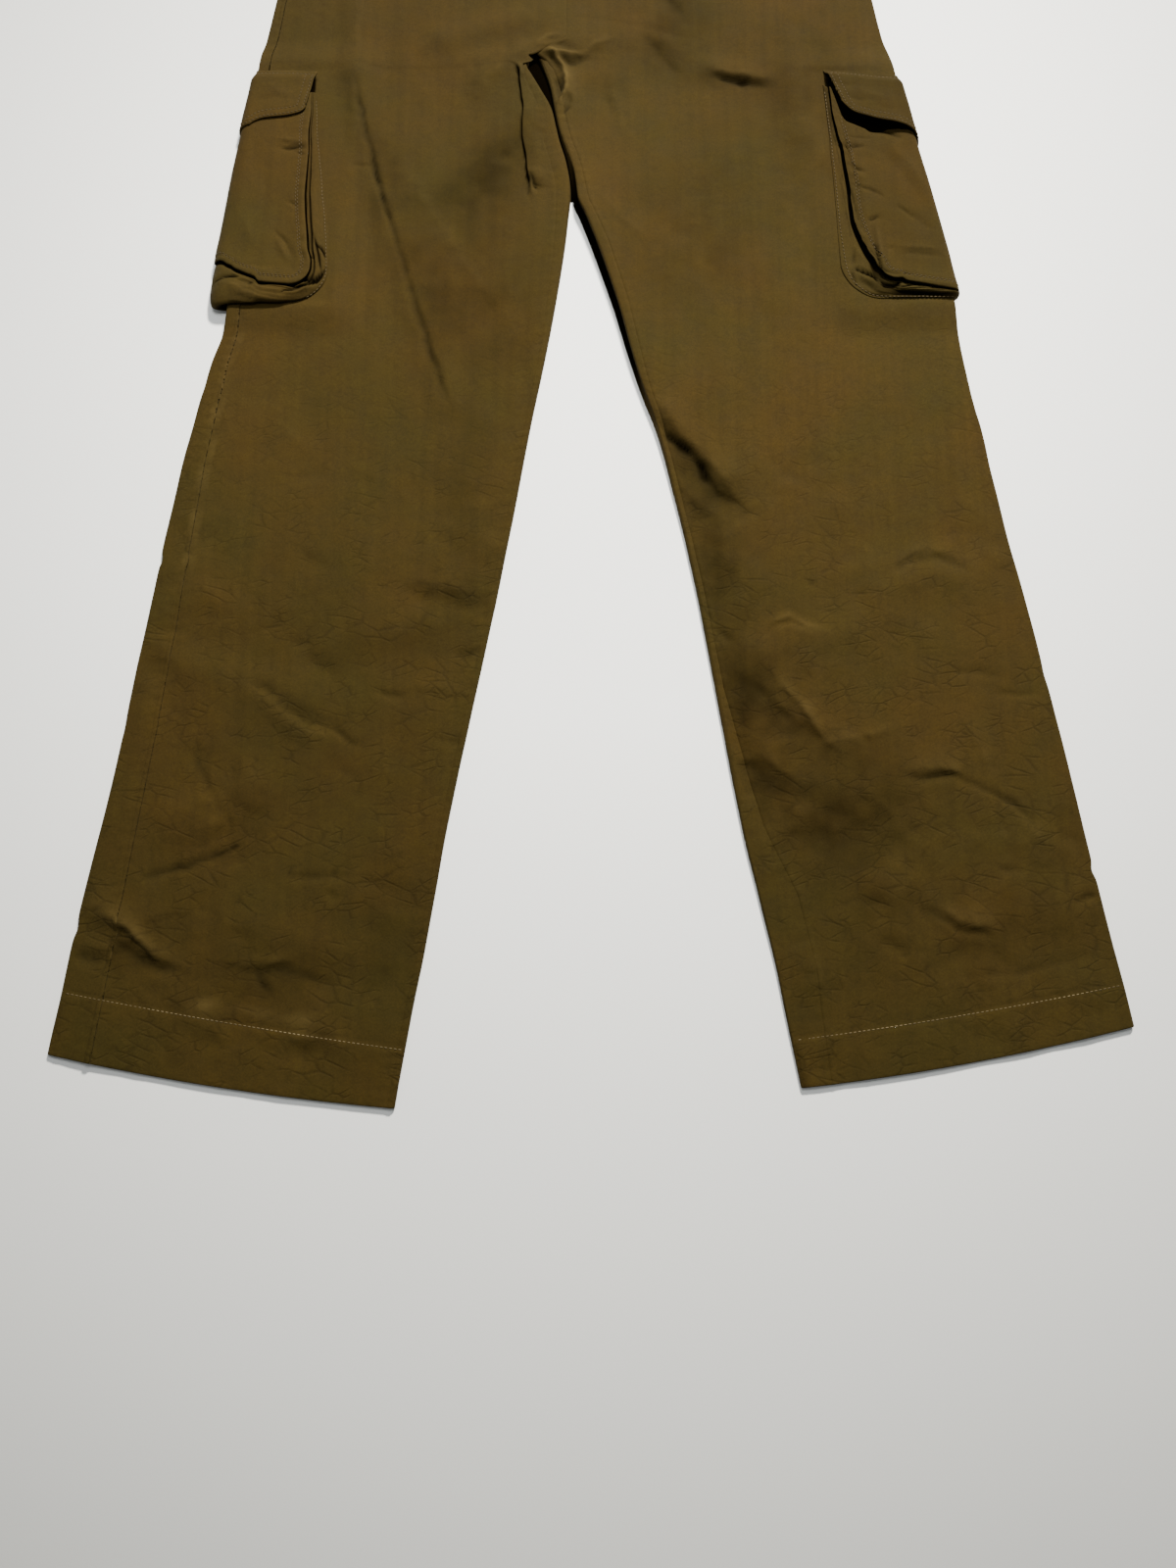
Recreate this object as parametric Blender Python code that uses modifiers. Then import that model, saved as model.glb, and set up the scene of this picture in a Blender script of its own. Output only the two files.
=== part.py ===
"""Cargo pants of light cotton twill, laid flat on their back with the waist towards +Y.

Left and right are the viewer's, looking down. The origin lies on the surface under the middle of
the pants. Sizes are in millimetres and become metres where the meshes are made. Each leg is a tube
pressed flat: a top layer, a folded outer edge, an under layer that rests at height 0 and a folded
inner edge. It is cut into a front and a back panel along its outseam and inseam.
"""

import math
from collections import namedtuple

import bpy
import numpy as np

# ---- driving sizes, millimetres

MM = 0.001
CLOTH = 1.1             # wall of a leg panel
POCKET_CLOTH = 1.0      # wall of a pocket's pieces
BAND_CLOTH = 1.8        # wall of the waistband, which is two layers sewn as one
SEAM = 0.5              # space between two panels' cut edges
PIECE_GAP = 0.4         # space between cloth that lies on cloth
LAYER_AIR = 0.9         # air between the front and the back where a leg lies flattest
LEG_DEPTH = 2 * CLOTH + LAYER_AIR
FOLD = LEG_DEPTH / 2    # outer radius of a plain folded edge
QUARTER = FOLD * math.pi / 2
RISE_REACH = 48.0       # how far a crest along an edge runs in over the leg
HEM_BOW = 4.0           # the hems curve down this much at their middle
HEM_BOW_FADE = 70.0

WAIST_Y = 553.0
BAND_HEIGHT = 40.0
PANEL_TOP = WAIST_Y - BAND_HEIGHT - SEAM
CROTCH_Y = 287.0        # where the centre seams end and the legs part
WAIST_DIP = 14.0        # the front of the waist lies this much lower at its middle
WAIST_DIP_REACH = 110.0

POCKET_STACK = 4.3      # a pocket's under half lifts the leg this much off the surface
POCKET_RAMP = 30.0      # and the leg comes down again over this distance

TWILL = (0.105, 0.075, 0.026)
TWILL_UNDER = (0.085, 0.062, 0.022)
BUTTON_BROWN = (0.05, 0.035, 0.018)

# ---- the legs' sections: y is the middle's, outer and inner are the x of the folded edges, tilt
# turns the section to the leg's own axis, rise_out and rise_in lift the top layer along the edges,
# round_in is how wide the inner fold rounds over, outseam is its place in from the outer edge
# (under the leg where it is negative) and inseam its place in from the inner edge

Section = namedtuple("Section", "y outer inner tilt rise_out rise_in round_in outseam inseam")

LEFT_SECTIONS = (
    Section(-534, -371.0, -133.0, -8.5, 0.3, 0.3, FOLD, 27, 5),
    Section(-443, -359.0, -118.5, -8.3, 0.8, 0.6, FOLD, 25, 5),
    Section(-343, -343.0, -102.0, -7.5, 1.0, 0.8, FOLD, 21, 5),
    Section(-243, -330.4, -83.3, -6.0, 0.8, 0.8, FOLD, 19, 5),
    Section(-143, -318.0, -63.3, -4.0, 0.8, 1.0, FOLD, 16, 5),
    Section(-43, -303.0, -46.0, -2.0, 1.2, 1.4, FOLD, 12, 5),
    Section(0, -294.0, -37.5, -1.2, 1.6, 1.6, FOLD, 10, 5),
    Section(30, -286.0, -32.0, -0.6, 1.6, 1.8, FOLD, 8, 6),
    Section(57, -283.0, -27.5, 0.0, 1.4, 2.0, FOLD, 7, 7),
    Section(107, -280.5, -20.5, 0.0, 1.2, 2.4, FOLD, 6, 9),
    Section(153, -278.0, -16.0, 0.0, 1.2, 2.6, FOLD, 6, 12),
    Section(200, -275.5, -23.0, 0.0, 1.2, 2.8, FOLD, 6, 13),
    Section(228, -274.0, -30.5, 0.0, 1.2, 3.0, FOLD, 6, 11),
    Section(252, -272.5, -40.0, 0.0, 1.2, 3.4, FOLD, 6, 9),
    Section(270, -271.5, -45.0, 0.0, 1.2, 4.2, FOLD, 6, 7),
    Section(283, -270.5, -40.0, 0.0, 1.2, 5.0, FOLD, 6, 5),
    Section(291, -269.0, -30.0, 0.0, 1.2, 5.0, FOLD, 6, SEAM / 2),
    Section(300, -267.5, -20.0, 0.0, 1.2, 4.6, FOLD, 6, SEAM / 2),
    Section(340, -261.5, -20.0, 0.0, 1.0, 2.6, FOLD, 5, SEAM / 2),
    Section(400, -252.0, -20.0, 0.0, 1.0, 1.6, FOLD, 4, SEAM / 2),
    Section(460, -239.5, -20.0, 0.0, 1.0, 1.2, FOLD, 4, SEAM / 2),
    Section(PANEL_TOP, -225.0, -20.0, 0.0, 0.6, 0.6, FOLD, 4, SEAM / 2),
)

RIGHT_SECTIONS = (
    Section(-518, 372.0, 142.5, 10.1, 0.3, 0.3, FOLD, -8, 21),
    Section(-443, 359.0, 128.5, 10.0, 0.8, 0.6, FOLD, -8, 27),
    Section(-393, 351.2, 117.7, 9.5, 0.8, 0.8, FOLD, -8, 27),
    Section(-343, 343.6, 107.5, 9.0, 0.9, 1.0, FOLD, -8, 15),
    Section(-243, 328.1, 89.7, 7.0, 0.8, 1.0, FOLD, -8, 6),
    Section(-143, 310.6, 72.7, 5.0, 0.8, 1.2, FOLD, -8, 5),
    Section(-93, 303.0, 61.3, 4.0, 1.0, 1.8, FOLD, -8, 5),
    Section(-62, 299.0, 54.0, 3.4, 1.0, 2.6, FOLD, -8, 5),
    Section(-43, 294.6, 48.5, 3.0, 1.2, 4.0, 3.0, -8, 6),
    Section(-15, 290.6, 38.0, 2.2, 1.4, 5.6, 5.0, -8, 7.5),
    Section(15, 287.0, 28.5, 1.4, 1.4, 7.0, 7.0, -8, 9.5),
    Section(57, 283.0, 16.0, 0.0, 1.2, 8.4, 9.6, -8, 12),
    Section(107, 274.6, 0.0, 0.0, 1.2, 9.0, 10.6, -8, 13),
    Section(143, 268.6, -12.0, 0.0, 1.2, 8.6, 9.4, -8, 12),
    Section(200, 259.0, -19.5, 0.0, 1.2, 6.0, 4.0, -8, 8),
    Section(228, 254.4, -26.5, 0.0, 1.2, 5.0, 2.4, -8, 8),
    Section(252, 250.0, -32.0, 0.0, 1.2, 4.6, FOLD, -8, 8),
    Section(270, 247.2, -33.5, 0.0, 1.2, 4.8, FOLD, -8, 7),
    Section(283, 244.6, -31.0, 0.0, 1.2, 5.0, FOLD, -8, 6),
    Section(291, 242.8, -26.0, 0.0, 1.2, 5.0, FOLD, -8, SEAM / 2),
    Section(300, 240.6, -20.0, 0.0, 1.2, 4.6, FOLD, -8, SEAM / 2),
    Section(340, 234.0, -20.0, 0.0, 1.0, 2.6, FOLD, -8, SEAM / 2),
    Section(400, 225.0, -20.0, 0.0, 1.0, 1.6, FOLD, -8, SEAM / 2),
    Section(460, 213.0, -20.0, 0.0, 1.0, 1.2, FOLD, -8, SEAM / 2),
    Section(PANEL_TOP, 199.0, -20.0, 0.0, 0.6, 0.6, FOLD, -8, SEAM / 2),
)

# the rows of every panel between its first and last section, closer where more happens
ROW_YS = (
    -490, -443, -393, -343, -293, -243, -193, -143, -115, -88, -62, -43, -20, 0, 22, 37, 52, 80,
    107, 130, 141, 150, 158, 166, 184, 204, 226, 244, 256, 264, 270, 277, 283, 287, 291, 295, 300,
    318, 345, 385, 430, 475,
)

# ---- soft ridges of the top layer: from (x0, y0) to (x1, y1), each width wide to where it has
# fallen to a third of its height

Ridge = namedtuple("Ridge", "x0 y0 x1 y1 width height")

RIDGES = (
    Ridge(-193, 262, -165, 150, 11, 2.4),
    Ridge(-165, 150, -109, -30, 12, 2.2),
    Ridge(-196, 400, -190, 268, 14, 2.4),
    Ridge(-60, 225, -104, 158, 16, 2.6),
    Ridge(-42, 322, -120, 300, 13, 3.0),
    Ridge(-62, 285, -92, 262, 14, 2.0),
    Ridge(-40, 420, -75, 365, 16, 1.8),
    Ridge(-215, -262, -290, -240, 15, 1.6),
    Ridge(-190, -225, -120, -208, 14, 1.8),
    Ridge(-296, -352, -236, -330, 15, 1.8),
    Ridge(-250, -430, -170, -448, 13, 1.4),
    Ridge(58, -40, 100, -92, 11, 4.2),
    Ridge(102, 272, 142, 262, 10, 2.4),
    Ridge(60, 318, 20, 268, 16, 2.4),
    Ridge(140, 420, 120, 340, 18, 1.6),
    Ridge(170, 180, 150, 60, 20, 1.4),
    Ridge(128, -228, 190, -214, 15, 2.0),
    Ridge(120, -262, 178, -300, 16, 2.2),
    Ridge(215, -180, 258, -165, 14, 1.6),
    Ridge(190, -330, 250, -318, 16, 1.8),
    Ridge(260, -430, 330, -420, 14, 1.4),
)

# ---- the tuck on the left inner thigh, where a strip of cloth laps over the panel: lip is its
# place in from the inner edge, reach how far it laps, and fold how far the cloth turns there, from
# 0 where it lies flat to 180 degrees where it is folded right over

Tuck = namedtuple("Tuck", "y lip reach fold")

TUCKS = (
    Tuck(-534, 60, 0.3, 0),
    Tuck(57, 48, 0.3, 0),
    Tuck(130, 33, 0.3, 0),
    Tuck(141, 30, 0.3, 40),
    Tuck(150, 29, 0.3, 80),
    Tuck(158, 29, 0.8, 130),
    Tuck(166, 29, 1.6, 180),
    Tuck(184, 29, 4, 180),
    Tuck(204, 29, 6, 180),
    Tuck(244, 23, 5, 180),
    Tuck(256, 20, 3, 180),
    Tuck(264, 18, 1.6, 180),
    Tuck(270, 17, 0.8, 130),
    Tuck(277, 17, 0.3, 80),
    Tuck(283, 20, 0.3, 40),
    Tuck(291, 34, 0.3, 0),
    Tuck(345, 52, 0.3, 0),
    Tuck(PANEL_TOP, 60, 0.3, 0),
)
LIP_RADIUS = CLOTH + 0.5
TUCK_STEP = 4.0         # the tuck's columns lie this far apart where the cloth is flat
TUCK_CLEAR = 2.2        # the strip stays level this far past the fold beneath it
UNDER_STEP = 0.7 * PIECE_GAP
LIP_STEP = 2 * LIP_RADIUS * math.sin(math.radians(22.5))
# the way along the tuck's section turns by these shares of the fold: first a tight fold under the
# strip, then back along the reach, then round the lip to the strip's own level
TUCK_TURNS = (0.25, 0.75, 1.0, 0.875, 0.625, 0.375, 0.125, 0.0)
TUCK_UNDER, TUCK_LIP = 2, 4     # how many steps the under fold and the lip have
TUCK_MIDDLE = 3                 # the column that stays at the lip's place

# ---- the cargo pockets: seam and face are the places of the stitch line and of the face's edge,
# in from the leg's outer edge on top, and out is how far the face stands past that edge

PocketRow = namedtuple("PocketRow", "y seam face out")

# bottom is the bellows' lower stitch line, low_in and low_out the face's lower edge at its inner
# end and at the leg's edge, mouth the face's upper edge, edge_lift and crown how far the face
# stands off the leg at its edge and in its middle, and flap_gape how far the flap stands open
Pocket = namedtuple("Pocket", "rows bottom low_in low_out mouth edge_lift crown "
                    "flap_top_in flap_top_out flap_low_in flap_low_out flap_in flap_gape")

LEFT_POCKET = Pocket(
    rows=(
        PocketRow(57, 73, 52, 13.0),
        PocketRow(100, 71, 53, 14.0),
        PocketRow(160, 64, 50, 11.0),
        PocketRow(215, 53, 45, 6.0),
        PocketRow(266, 48, 44, 1.6),
    ),
    bottom=56, low_in=73, low_out=90, mouth=252, edge_lift=5.4, crown=3.4,
    flap_top_in=266, flap_top_out=266, flap_low_in=227, flap_low_out=212, flap_in=44.5,
    flap_gape=0.6,
)

RIGHT_POCKET = Pocket(
    rows=(
        PocketRow(57, 82, 56, 2.0),
        PocketRow(100, 76, 62, 4.2),
        PocketRow(160, 70, 60, 4.6),
        PocketRow(215, 62, 55, 1.6),
        PocketRow(266, 56, 52, 1.0),
    ),
    bottom=59, low_in=76, low_out=68, mouth=243, edge_lift=5.8, crown=3.4,
    flap_top_in=264, flap_top_out=255, flap_low_in=224, flap_low_out=205, flap_in=53,
    flap_gape=7.0,
)

SEAM_CORNER = 26.0      # radius of the stitch line's lower corners
FACE_CORNER = 15.0
FLAP_CORNER = 10.0
UNDER_SEAM = 74.0       # how far each piece reaches under the leg, from its outer edge
UNDER_FACE = 60.0
UNDER_FLAP = 57.0
MOUTH_LIFT = 2.0        # the face's height off the leg at its mouth
MOUTH_RAMP = 45.0       # and it rises to its full height over this distance
EDGE_RIM = 13.0         # width of the raised rim along the face's edge
FACE_UNDER_LIFT = POCKET_CLOTH + 2 * PIECE_GAP
FLAP_ON_FACE = POCKET_CLOTH + PIECE_GAP
FLAP_HINGE = 10.0       # the flap climbs onto the face over this much of its length
PLEAT_START = 6.0       # a bellows strip narrower than this lies plain
PLEAT_FULL = 14.0       # and one wider than this is fully pleated

TURN_DEGREES = (90, 60, 30, 0, -30, -60, -90)
CORNER_DEGREES = (0, 22.5, 45, 67.5, 90)
FACE_SHARES = (0, 0.08, 0.2, 0.34, 0.48, 0.62, 0.75, 0.86, 0.94, 1.0)
FLAP_SHARES = (0, 0.12, 0.24, 0.34, 0.55, 0.78, 1.0)

# the bellows across its width, from the stitch line to the face's edge: where each column lies,
# and its height as a share of the face's, down the side, along the bottom and beside the leg
BellowsColumn = namedtuple("BellowsColumn", "share side bottom out")
BELLOWS_COLUMNS = (
    BellowsColumn(0.00, 0.00, 0.00, 0.00),
    BellowsColumn(0.14, 0.06, 0.50, 0.62),
    BellowsColumn(0.45, 0.14, 0.95, 0.96),
    BellowsColumn(0.62, 0.52, 0.72, 0.84),
    BellowsColumn(0.80, 0.26, 0.62, 0.82),
    BellowsColumn(1.00, 1.00, 1.00, 1.00),
)

# the leg's columns beside the pocket: the ramp that its under half makes starts and ends on them
RAMP_START = UNDER_SEAM + 4.0
RAMP_END = RAMP_START + POCKET_RAMP

Leg = namedtuple("Leg", "name sections pocket")
LEFT = Leg("left", LEFT_SECTIONS, LEFT_POCKET)
RIGHT = Leg("right", RIGHT_SECTIONS, RIGHT_POCKET)
TOP, UNDER = 1, -1

# ---- waistband, fly and button

BAND_DEPTH = 4.4        # the flattened waistband's height
BAND_LAP = 17.0         # its ends lap this far past the centre, each way
BAND_LAP_SLOPE = 14.0
BAND_PITCH = BAND_CLOTH + PIECE_GAP
FLY_WIDTH = 38.0
FLY_LENGTH = 150.0
FLY_CORNER = 26.0
BUTTON_RADIUS = 8.5
BUTTON_HEIGHT = 2.6


def smooth_through(points, table, column):
    """A column of a table at the given y, on a curve through its rows that never overshoots."""
    xs = np.array([row.y for row in table], float)
    ys = np.array([getattr(row, column) for row in table], float)
    gaps = np.diff(xs)
    rates = np.diff(ys) / gaps
    slopes = np.zeros(len(xs))
    slopes[0], slopes[-1] = rates[0], rates[-1]
    same_way = rates[:-1] * rates[1:] > 0
    before, after = rates[:-1][same_way], rates[1:][same_way]
    slopes[1:-1][same_way] = 2 * before * after / (before + after)
    at = np.clip(np.asarray(points, float), xs[0], xs[-1])
    k = np.clip(np.searchsorted(xs, at, side="right") - 1, 0, len(gaps) - 1)
    u = (at - xs[k]) / gaps[k]
    return (
        (1 + 2 * u) * (1 - u) ** 2 * ys[k]
        + u * (1 - u) ** 2 * gaps[k] * slopes[k]
        + u**2 * (3 - 2 * u) * ys[k + 1]
        + u**2 * (u - 1) * gaps[k] * slopes[k + 1]
    )


def straight_through(points, table, column):
    """A column of a table at the given y, on straight lines between its rows."""
    return np.interp(points, [row.y for row in table], [getattr(row, column) for row in table])


def ease(x):
    """0 below 0 and 1 above 1, with a soft start and end."""
    x = np.clip(x, 0.0, 1.0)
    return x * x * (3 - 2 * x)


def plateau(x, low, high, ramp):
    """1 between low and high, falling softly to 0 over ramp on each side."""
    return ease((x - low) / ramp + 1) * ease((high - x) / ramp + 1)


# ---- the flattened leg as a surface

def edges(leg, y):
    """The outer edge's point, the direction across to the inner edge, and the width, at each y."""
    outer = smooth_through(y, leg.sections, "outer")
    inner = smooth_through(y, leg.sections, "inner")
    tilt = np.tan(np.radians(smooth_through(y, leg.sections, "tilt")))
    half = (inner - outer) / 2
    start = np.stack([outer, y - half * tilt], axis=-1)
    across = np.stack([2 * half, 2 * half * tilt], axis=-1)
    width = np.linalg.norm(across, axis=-1)
    return start, across / width[..., None], width


def in_plan(leg, y, t):
    """The x and y of points t in from the outer edge. Towards the hem the rows bow down."""
    start, across, width = edges(leg, y)
    point = start + across * np.asarray(t)[..., None]
    share = np.clip(t / width, 0, 1)
    bow = HEM_BOW * 4 * share * (1 - share) * np.clip(1 - (y - leg.sections[0].y) / HEM_BOW_FADE, 0, 1)
    point[..., 1] -= bow
    return point


def lift_under(leg, y, t):
    """How far the under layer is held off the surface by the pocket's under half."""
    pocket = leg.pocket
    along = plateau(y, pocket.bottom - 4, pocket.flap_top_in + 4, POCKET_RAMP)
    return POCKET_STACK * along * ease((RAMP_END - t) / POCKET_RAMP)


def ridges(point):
    """The height that the ridges add at a point of the top layer."""
    height = np.zeros(point.shape[:-1])
    for ridge in RIDGES:
        start = np.array([ridge.x0, ridge.y0], float)
        run = np.array([ridge.x1, ridge.y1], float) - start
        share = np.clip((point - start) @ run / (run @ run), 0, 1)
        away = np.linalg.norm(point - start - share[..., None] * run, axis=-1)
        height += ridge.height * np.exp(-((away / ridge.width) ** 2))
    return height


def skin_height(leg, y, t, layer):
    """The height of the leg's outside, on its top or under layer."""
    under = lift_under(leg, y, t)
    if layer == UNDER:
        return under
    width = edges(leg, y)[2]
    out = smooth_through(y, leg.sections, "rise_out") * np.exp(-((t / RISE_REACH) ** 2))
    into = smooth_through(y, leg.sections, "rise_in") * np.exp(-(((width - t) / RISE_REACH) ** 2))
    edge_fade = ease(t / 14) * ease((width - t) / 14)
    return under + LEG_DEPTH + out + into + ridges(in_plan(leg, y, t)) * edge_fade


def on_layer(leg, y, t, layer=TOP):
    """Points of the leg's outside, t in from the outer edge."""
    t = np.broadcast_to(t, np.shape(y)).astype(float)
    plan = in_plan(leg, y, t)
    return np.concatenate([plan, skin_height(leg, y, t, layer)[..., None]], axis=-1)


def on_turn(leg, y, inner, degrees):
    """Points round a folded edge: 90 degrees is its top, 0 its outermost line, -90 underneath."""
    width = edges(leg, y)[2]
    angle = np.radians(degrees)
    over = np.sin(angle) > 0
    round_over = np.full(len(y), FOLD)
    if inner:
        round_over = np.where(over, smooth_through(y, leg.sections, "round_in"), FOLD)
    back = round_over * (1 - np.cos(angle))
    t = width - back if inner else back
    apex = skin_height(leg, y, width * float(inner), UNDER) + FOLD
    end = width - round_over if inner else round_over
    edge = np.where(over, skin_height(leg, y, end, TOP), skin_height(leg, y, end, UNDER))
    height = apex + (edge - apex) * np.abs(np.sin(angle))
    return np.concatenate([in_plan(leg, y, t), height[..., None]], axis=-1)


def round_edge(leg, y, along, top, out, under):
    """Points of a piece that wraps the leg's outer edge.

    along is the way from the edge's outermost line, positive over the top. top, out and under
    are how far the piece stands off the leg above, beside and below it.
    """
    angle = np.clip(along / QUARTER, -1, 1) * math.pi / 2
    beyond = np.maximum(np.abs(along) - QUARTER, 0)
    t = FOLD - (FOLD + out) * np.cos(angle) + beyond
    inside = np.maximum(t, 0.0)
    apex = skin_height(leg, y, np.zeros_like(t), UNDER) + FOLD
    above = skin_height(leg, y, np.maximum(inside, FOLD), TOP) + top - apex
    below = apex - skin_height(leg, y, np.maximum(inside, FOLD), UNDER) + under
    height = apex + np.where(angle > 0, above, below) * np.sin(angle)
    return np.concatenate([in_plan(leg, y, t), height[..., None]], axis=-1)


# ---- making the solids

def material(name, colour, roughness):
    made = bpy.data.materials.new(name)
    made.use_nodes = True
    shader = made.node_tree.nodes["Principled BSDF"]
    shader.inputs["Base Color"].default_value = (*colour, 1.0)
    shader.inputs["Roughness"].default_value = roughness
    shader.inputs["Metallic"].default_value = 0.0
    return made


def cloth_piece(name, grid, wall, outward, colour, collection, flip=False):
    """A wall of cloth: a grid of points in mm, thickened outwards or inwards from itself."""
    rows, columns = grid.shape[:2]
    mesh = bpy.data.meshes.new(name)
    index = np.arange(rows * columns).reshape(rows, columns)
    corners = [index[:-1, :-1], index[:-1, 1:], index[1:, 1:], index[1:, :-1]]
    if flip:
        corners.reverse()
    faces = np.stack(corners, axis=-1).reshape(-1, 4)
    mesh.from_pydata((grid.reshape(-1, 3) * MM).tolist(), [], faces.tolist())
    mesh.update()
    mesh.shade_smooth()
    mesh.materials.append(material(name, colour, 0.9))
    piece = bpy.data.objects.new(name, mesh)
    collection.objects.link(piece)
    shell = piece.modifiers.new("Wall", "SOLIDIFY")
    shell.thickness = wall * MM
    shell.offset = 1.0 if outward else -1.0
    shell.use_even_offset = True
    return piece


def row_ys(leg):
    """The middles of a panel's rows, from the hem to the top."""
    return np.array([leg.sections[0].y, *ROW_YS, PANEL_TOP], float)


def dip_waist(point):
    """The front of the waist hangs lower towards its middle."""
    reach = ease((point[..., 1] - (PANEL_TOP - WAIST_DIP_REACH)) / WAIST_DIP_REACH)
    centre, side = LEFT_SECTIONS[-1].inner, LEFT_SECTIONS[-1].outer
    middle = np.cos(np.clip((point[..., 0] - centre) / (centre - side), -1, 1) * math.pi / 2) ** 2
    point[..., 1] -= WAIST_DIP * reach * middle
    return point


def spread(start, end, shares):
    """Places between two edges, one array for each share of the way."""
    return [start + (end - start) * share for share in shares]


def tuck_columns(leg, y):
    """The columns of the left front from its tuck, over the strip that laps, to the inseam."""
    width = edges(leg, y)[2]
    lip, reach, fold = (straight_through(y, TUCKS, c) for c in ("lip", "reach", "fold"))
    steps = [UNDER_STEP + 0 * y] * TUCK_UNDER + [reach] + [LIP_STEP + 0 * y] * TUCK_LIP
    steps.append(reach + TUCK_CLEAR)
    start = np.zeros((1, len(y)))
    turn = np.radians(fold) * np.array(TUCK_TURNS)[:, None]
    shift = np.concatenate([start, np.cumsum(np.array(steps) * np.cos(turn), axis=0)])
    up = np.concatenate([start, np.cumsum(np.array(steps) * np.sin(turn), axis=0)])
    flat = TUCK_STEP * (np.arange(len(shift)) - TUCK_MIDDLE)[:, None]
    folded = ease(fold / 40)
    t = width - lip + flat + (shift - shift[TUCK_MIDDLE] - flat) * folded
    last = width - straight_through(y, leg.sections, "inseam")
    t = np.concatenate([t, [(t[-1] + last) / 2, last]])
    up = np.concatenate([up, [up[-1] / 2, 0 * y]]) * folded
    columns = []
    for place, rise in zip(t, up):
        point = on_layer(leg, y, place)
        point[..., 2] += rise
        columns.append(point)
    return columns


def front_panel(leg, collection):
    """A front panel, from the outseam over the top layer to the inseam or the centre seam."""
    y = row_ys(leg)
    width = edges(leg, y)[2]
    outseam = smooth_through(y, leg.sections, "outseam")
    if leg is LEFT:
        start = width - straight_through(y, TUCKS, "lip") - TUCK_STEP * TUCK_MIDDLE
        columns = [on_layer(leg, y, t) for t in spread(outseam, 55.0, (0, 0.5, 1))]
        columns += [on_layer(leg, y, t) for t in spread(RAMP_START, RAMP_END, (0, 0.5, 1))]
        columns.append(on_layer(leg, y, (RAMP_END + start) / 2))
        columns += tuck_columns(leg, y)
    else:
        last = width - straight_through(y, leg.sections, "inseam")
        columns = [on_layer(leg, y, -outseam - SEAM, UNDER)]
        columns += [on_turn(leg, y, False, d) for d in (-90, -45, 0, 45)]
        columns += [on_layer(leg, y, t) for t in (FOLD, 16.0, 36.0, 55.0)]
        columns += [on_layer(leg, y, t) for t in spread(RAMP_START, RAMP_END, (0, 0.5, 1))]
        columns += [on_layer(leg, y, t) for t in spread(RAMP_END, last, (
            0.22, 0.44, 0.63, 0.79, 0.9, 0.96, 1))]
    grid = dip_waist(np.stack(columns, axis=1))
    cloth_piece(f"front_{leg.name}", grid, CLOTH, False, TWILL, collection, flip=leg is RIGHT)


# the back's columns round the inner fold, in half turns past the fold's start; from 1 to
# FOLD_END the cloth lies on the top, up to the inseam
FOLD_COLUMNS = (0.0, 0.25, 0.5, 0.667, 0.833, 1.0, 1.25)
FOLD_END = FOLD_COLUMNS[-1]
UNROLLED = 10.0         # a half turn's length once it lies flat
UNROLL_LENGTH = 34.0    # the fold unrolls over this much of the leg below the crotch


def back_fold(leg, y, place):
    """Points of the back panel along its inner fold, which unrolls to the centre seam."""
    width = edges(leg, y)[2]
    crotch_share = (y - CROTCH_Y) / UNROLL_LENGTH + 0.75
    place = place - FOLD_END * np.clip(crotch_share, 0, 1)
    flat_end = width - FOLD + (FOLD - SEAM / 2) * ease(crotch_share * 2 - 1)
    inseam = straight_through(y, leg.sections, "inseam")
    round_in = smooth_through(y, leg.sections, "round_in")
    strip = np.maximum(inseam - SEAM - round_in, 0.5)
    over = round_in + strip * (place - 1) / (FOLD_END - 1)
    below = on_layer(leg, y, flat_end + np.minimum(place, 0) * UNROLLED, UNDER)
    around = on_turn(leg, y, True, 180 * np.clip(place, 0, 1) - 90)
    above = on_layer(leg, y, width - over)
    return np.where(place[:, None] <= 0, below, np.where(place[:, None] < 1, around, above))


def back_panel(leg, collection):
    """A back panel, from the outseam under the leg and round its inner fold to the inseam."""
    y = row_ys(leg)
    width = edges(leg, y)[2]
    outseam = smooth_through(y, leg.sections, "outseam")
    if leg is LEFT:
        columns = [on_layer(leg, y, outseam - SEAM)]
        columns += [on_turn(leg, y, False, d) for d in (90, 45, 0, -45)]
        first = FOLD
    else:
        columns = []
        first = -outseam
    last = width - FOLD - FOLD_END * UNROLLED
    columns += [on_layer(leg, y, t, UNDER) for t in spread(first, RAMP_START, (0, 0.5, 1))]
    columns += [on_layer(leg, y, t, UNDER) for t in spread(RAMP_START, RAMP_END, (0.5, 1))]
    columns += [on_layer(leg, y, t, UNDER) for t in spread(RAMP_END, last, (0.45, 0.9))]
    columns += [back_fold(leg, y, place) for place in FOLD_COLUMNS]
    grid = np.stack(columns, axis=1)
    cloth_piece(f"back_{leg.name}", grid, CLOTH, False, TWILL_UNDER, collection, flip=leg is LEFT)


# ---- the cargo pockets

def on_edge(t, sign=1):
    """The way along round_edge's path to the place t in from the leg's edge, over or under it."""
    return sign * (QUARTER + t - FOLD)


def slope_line(leg, inner_y, edge_y):
    """A line of y across the pocket, from its inner side to the leg's edge, and level beneath."""
    inner = on_edge(leg.pocket.rows[0].face)
    return lambda along: edge_y + (inner_y - edge_y) * ease(along / inner)


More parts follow.
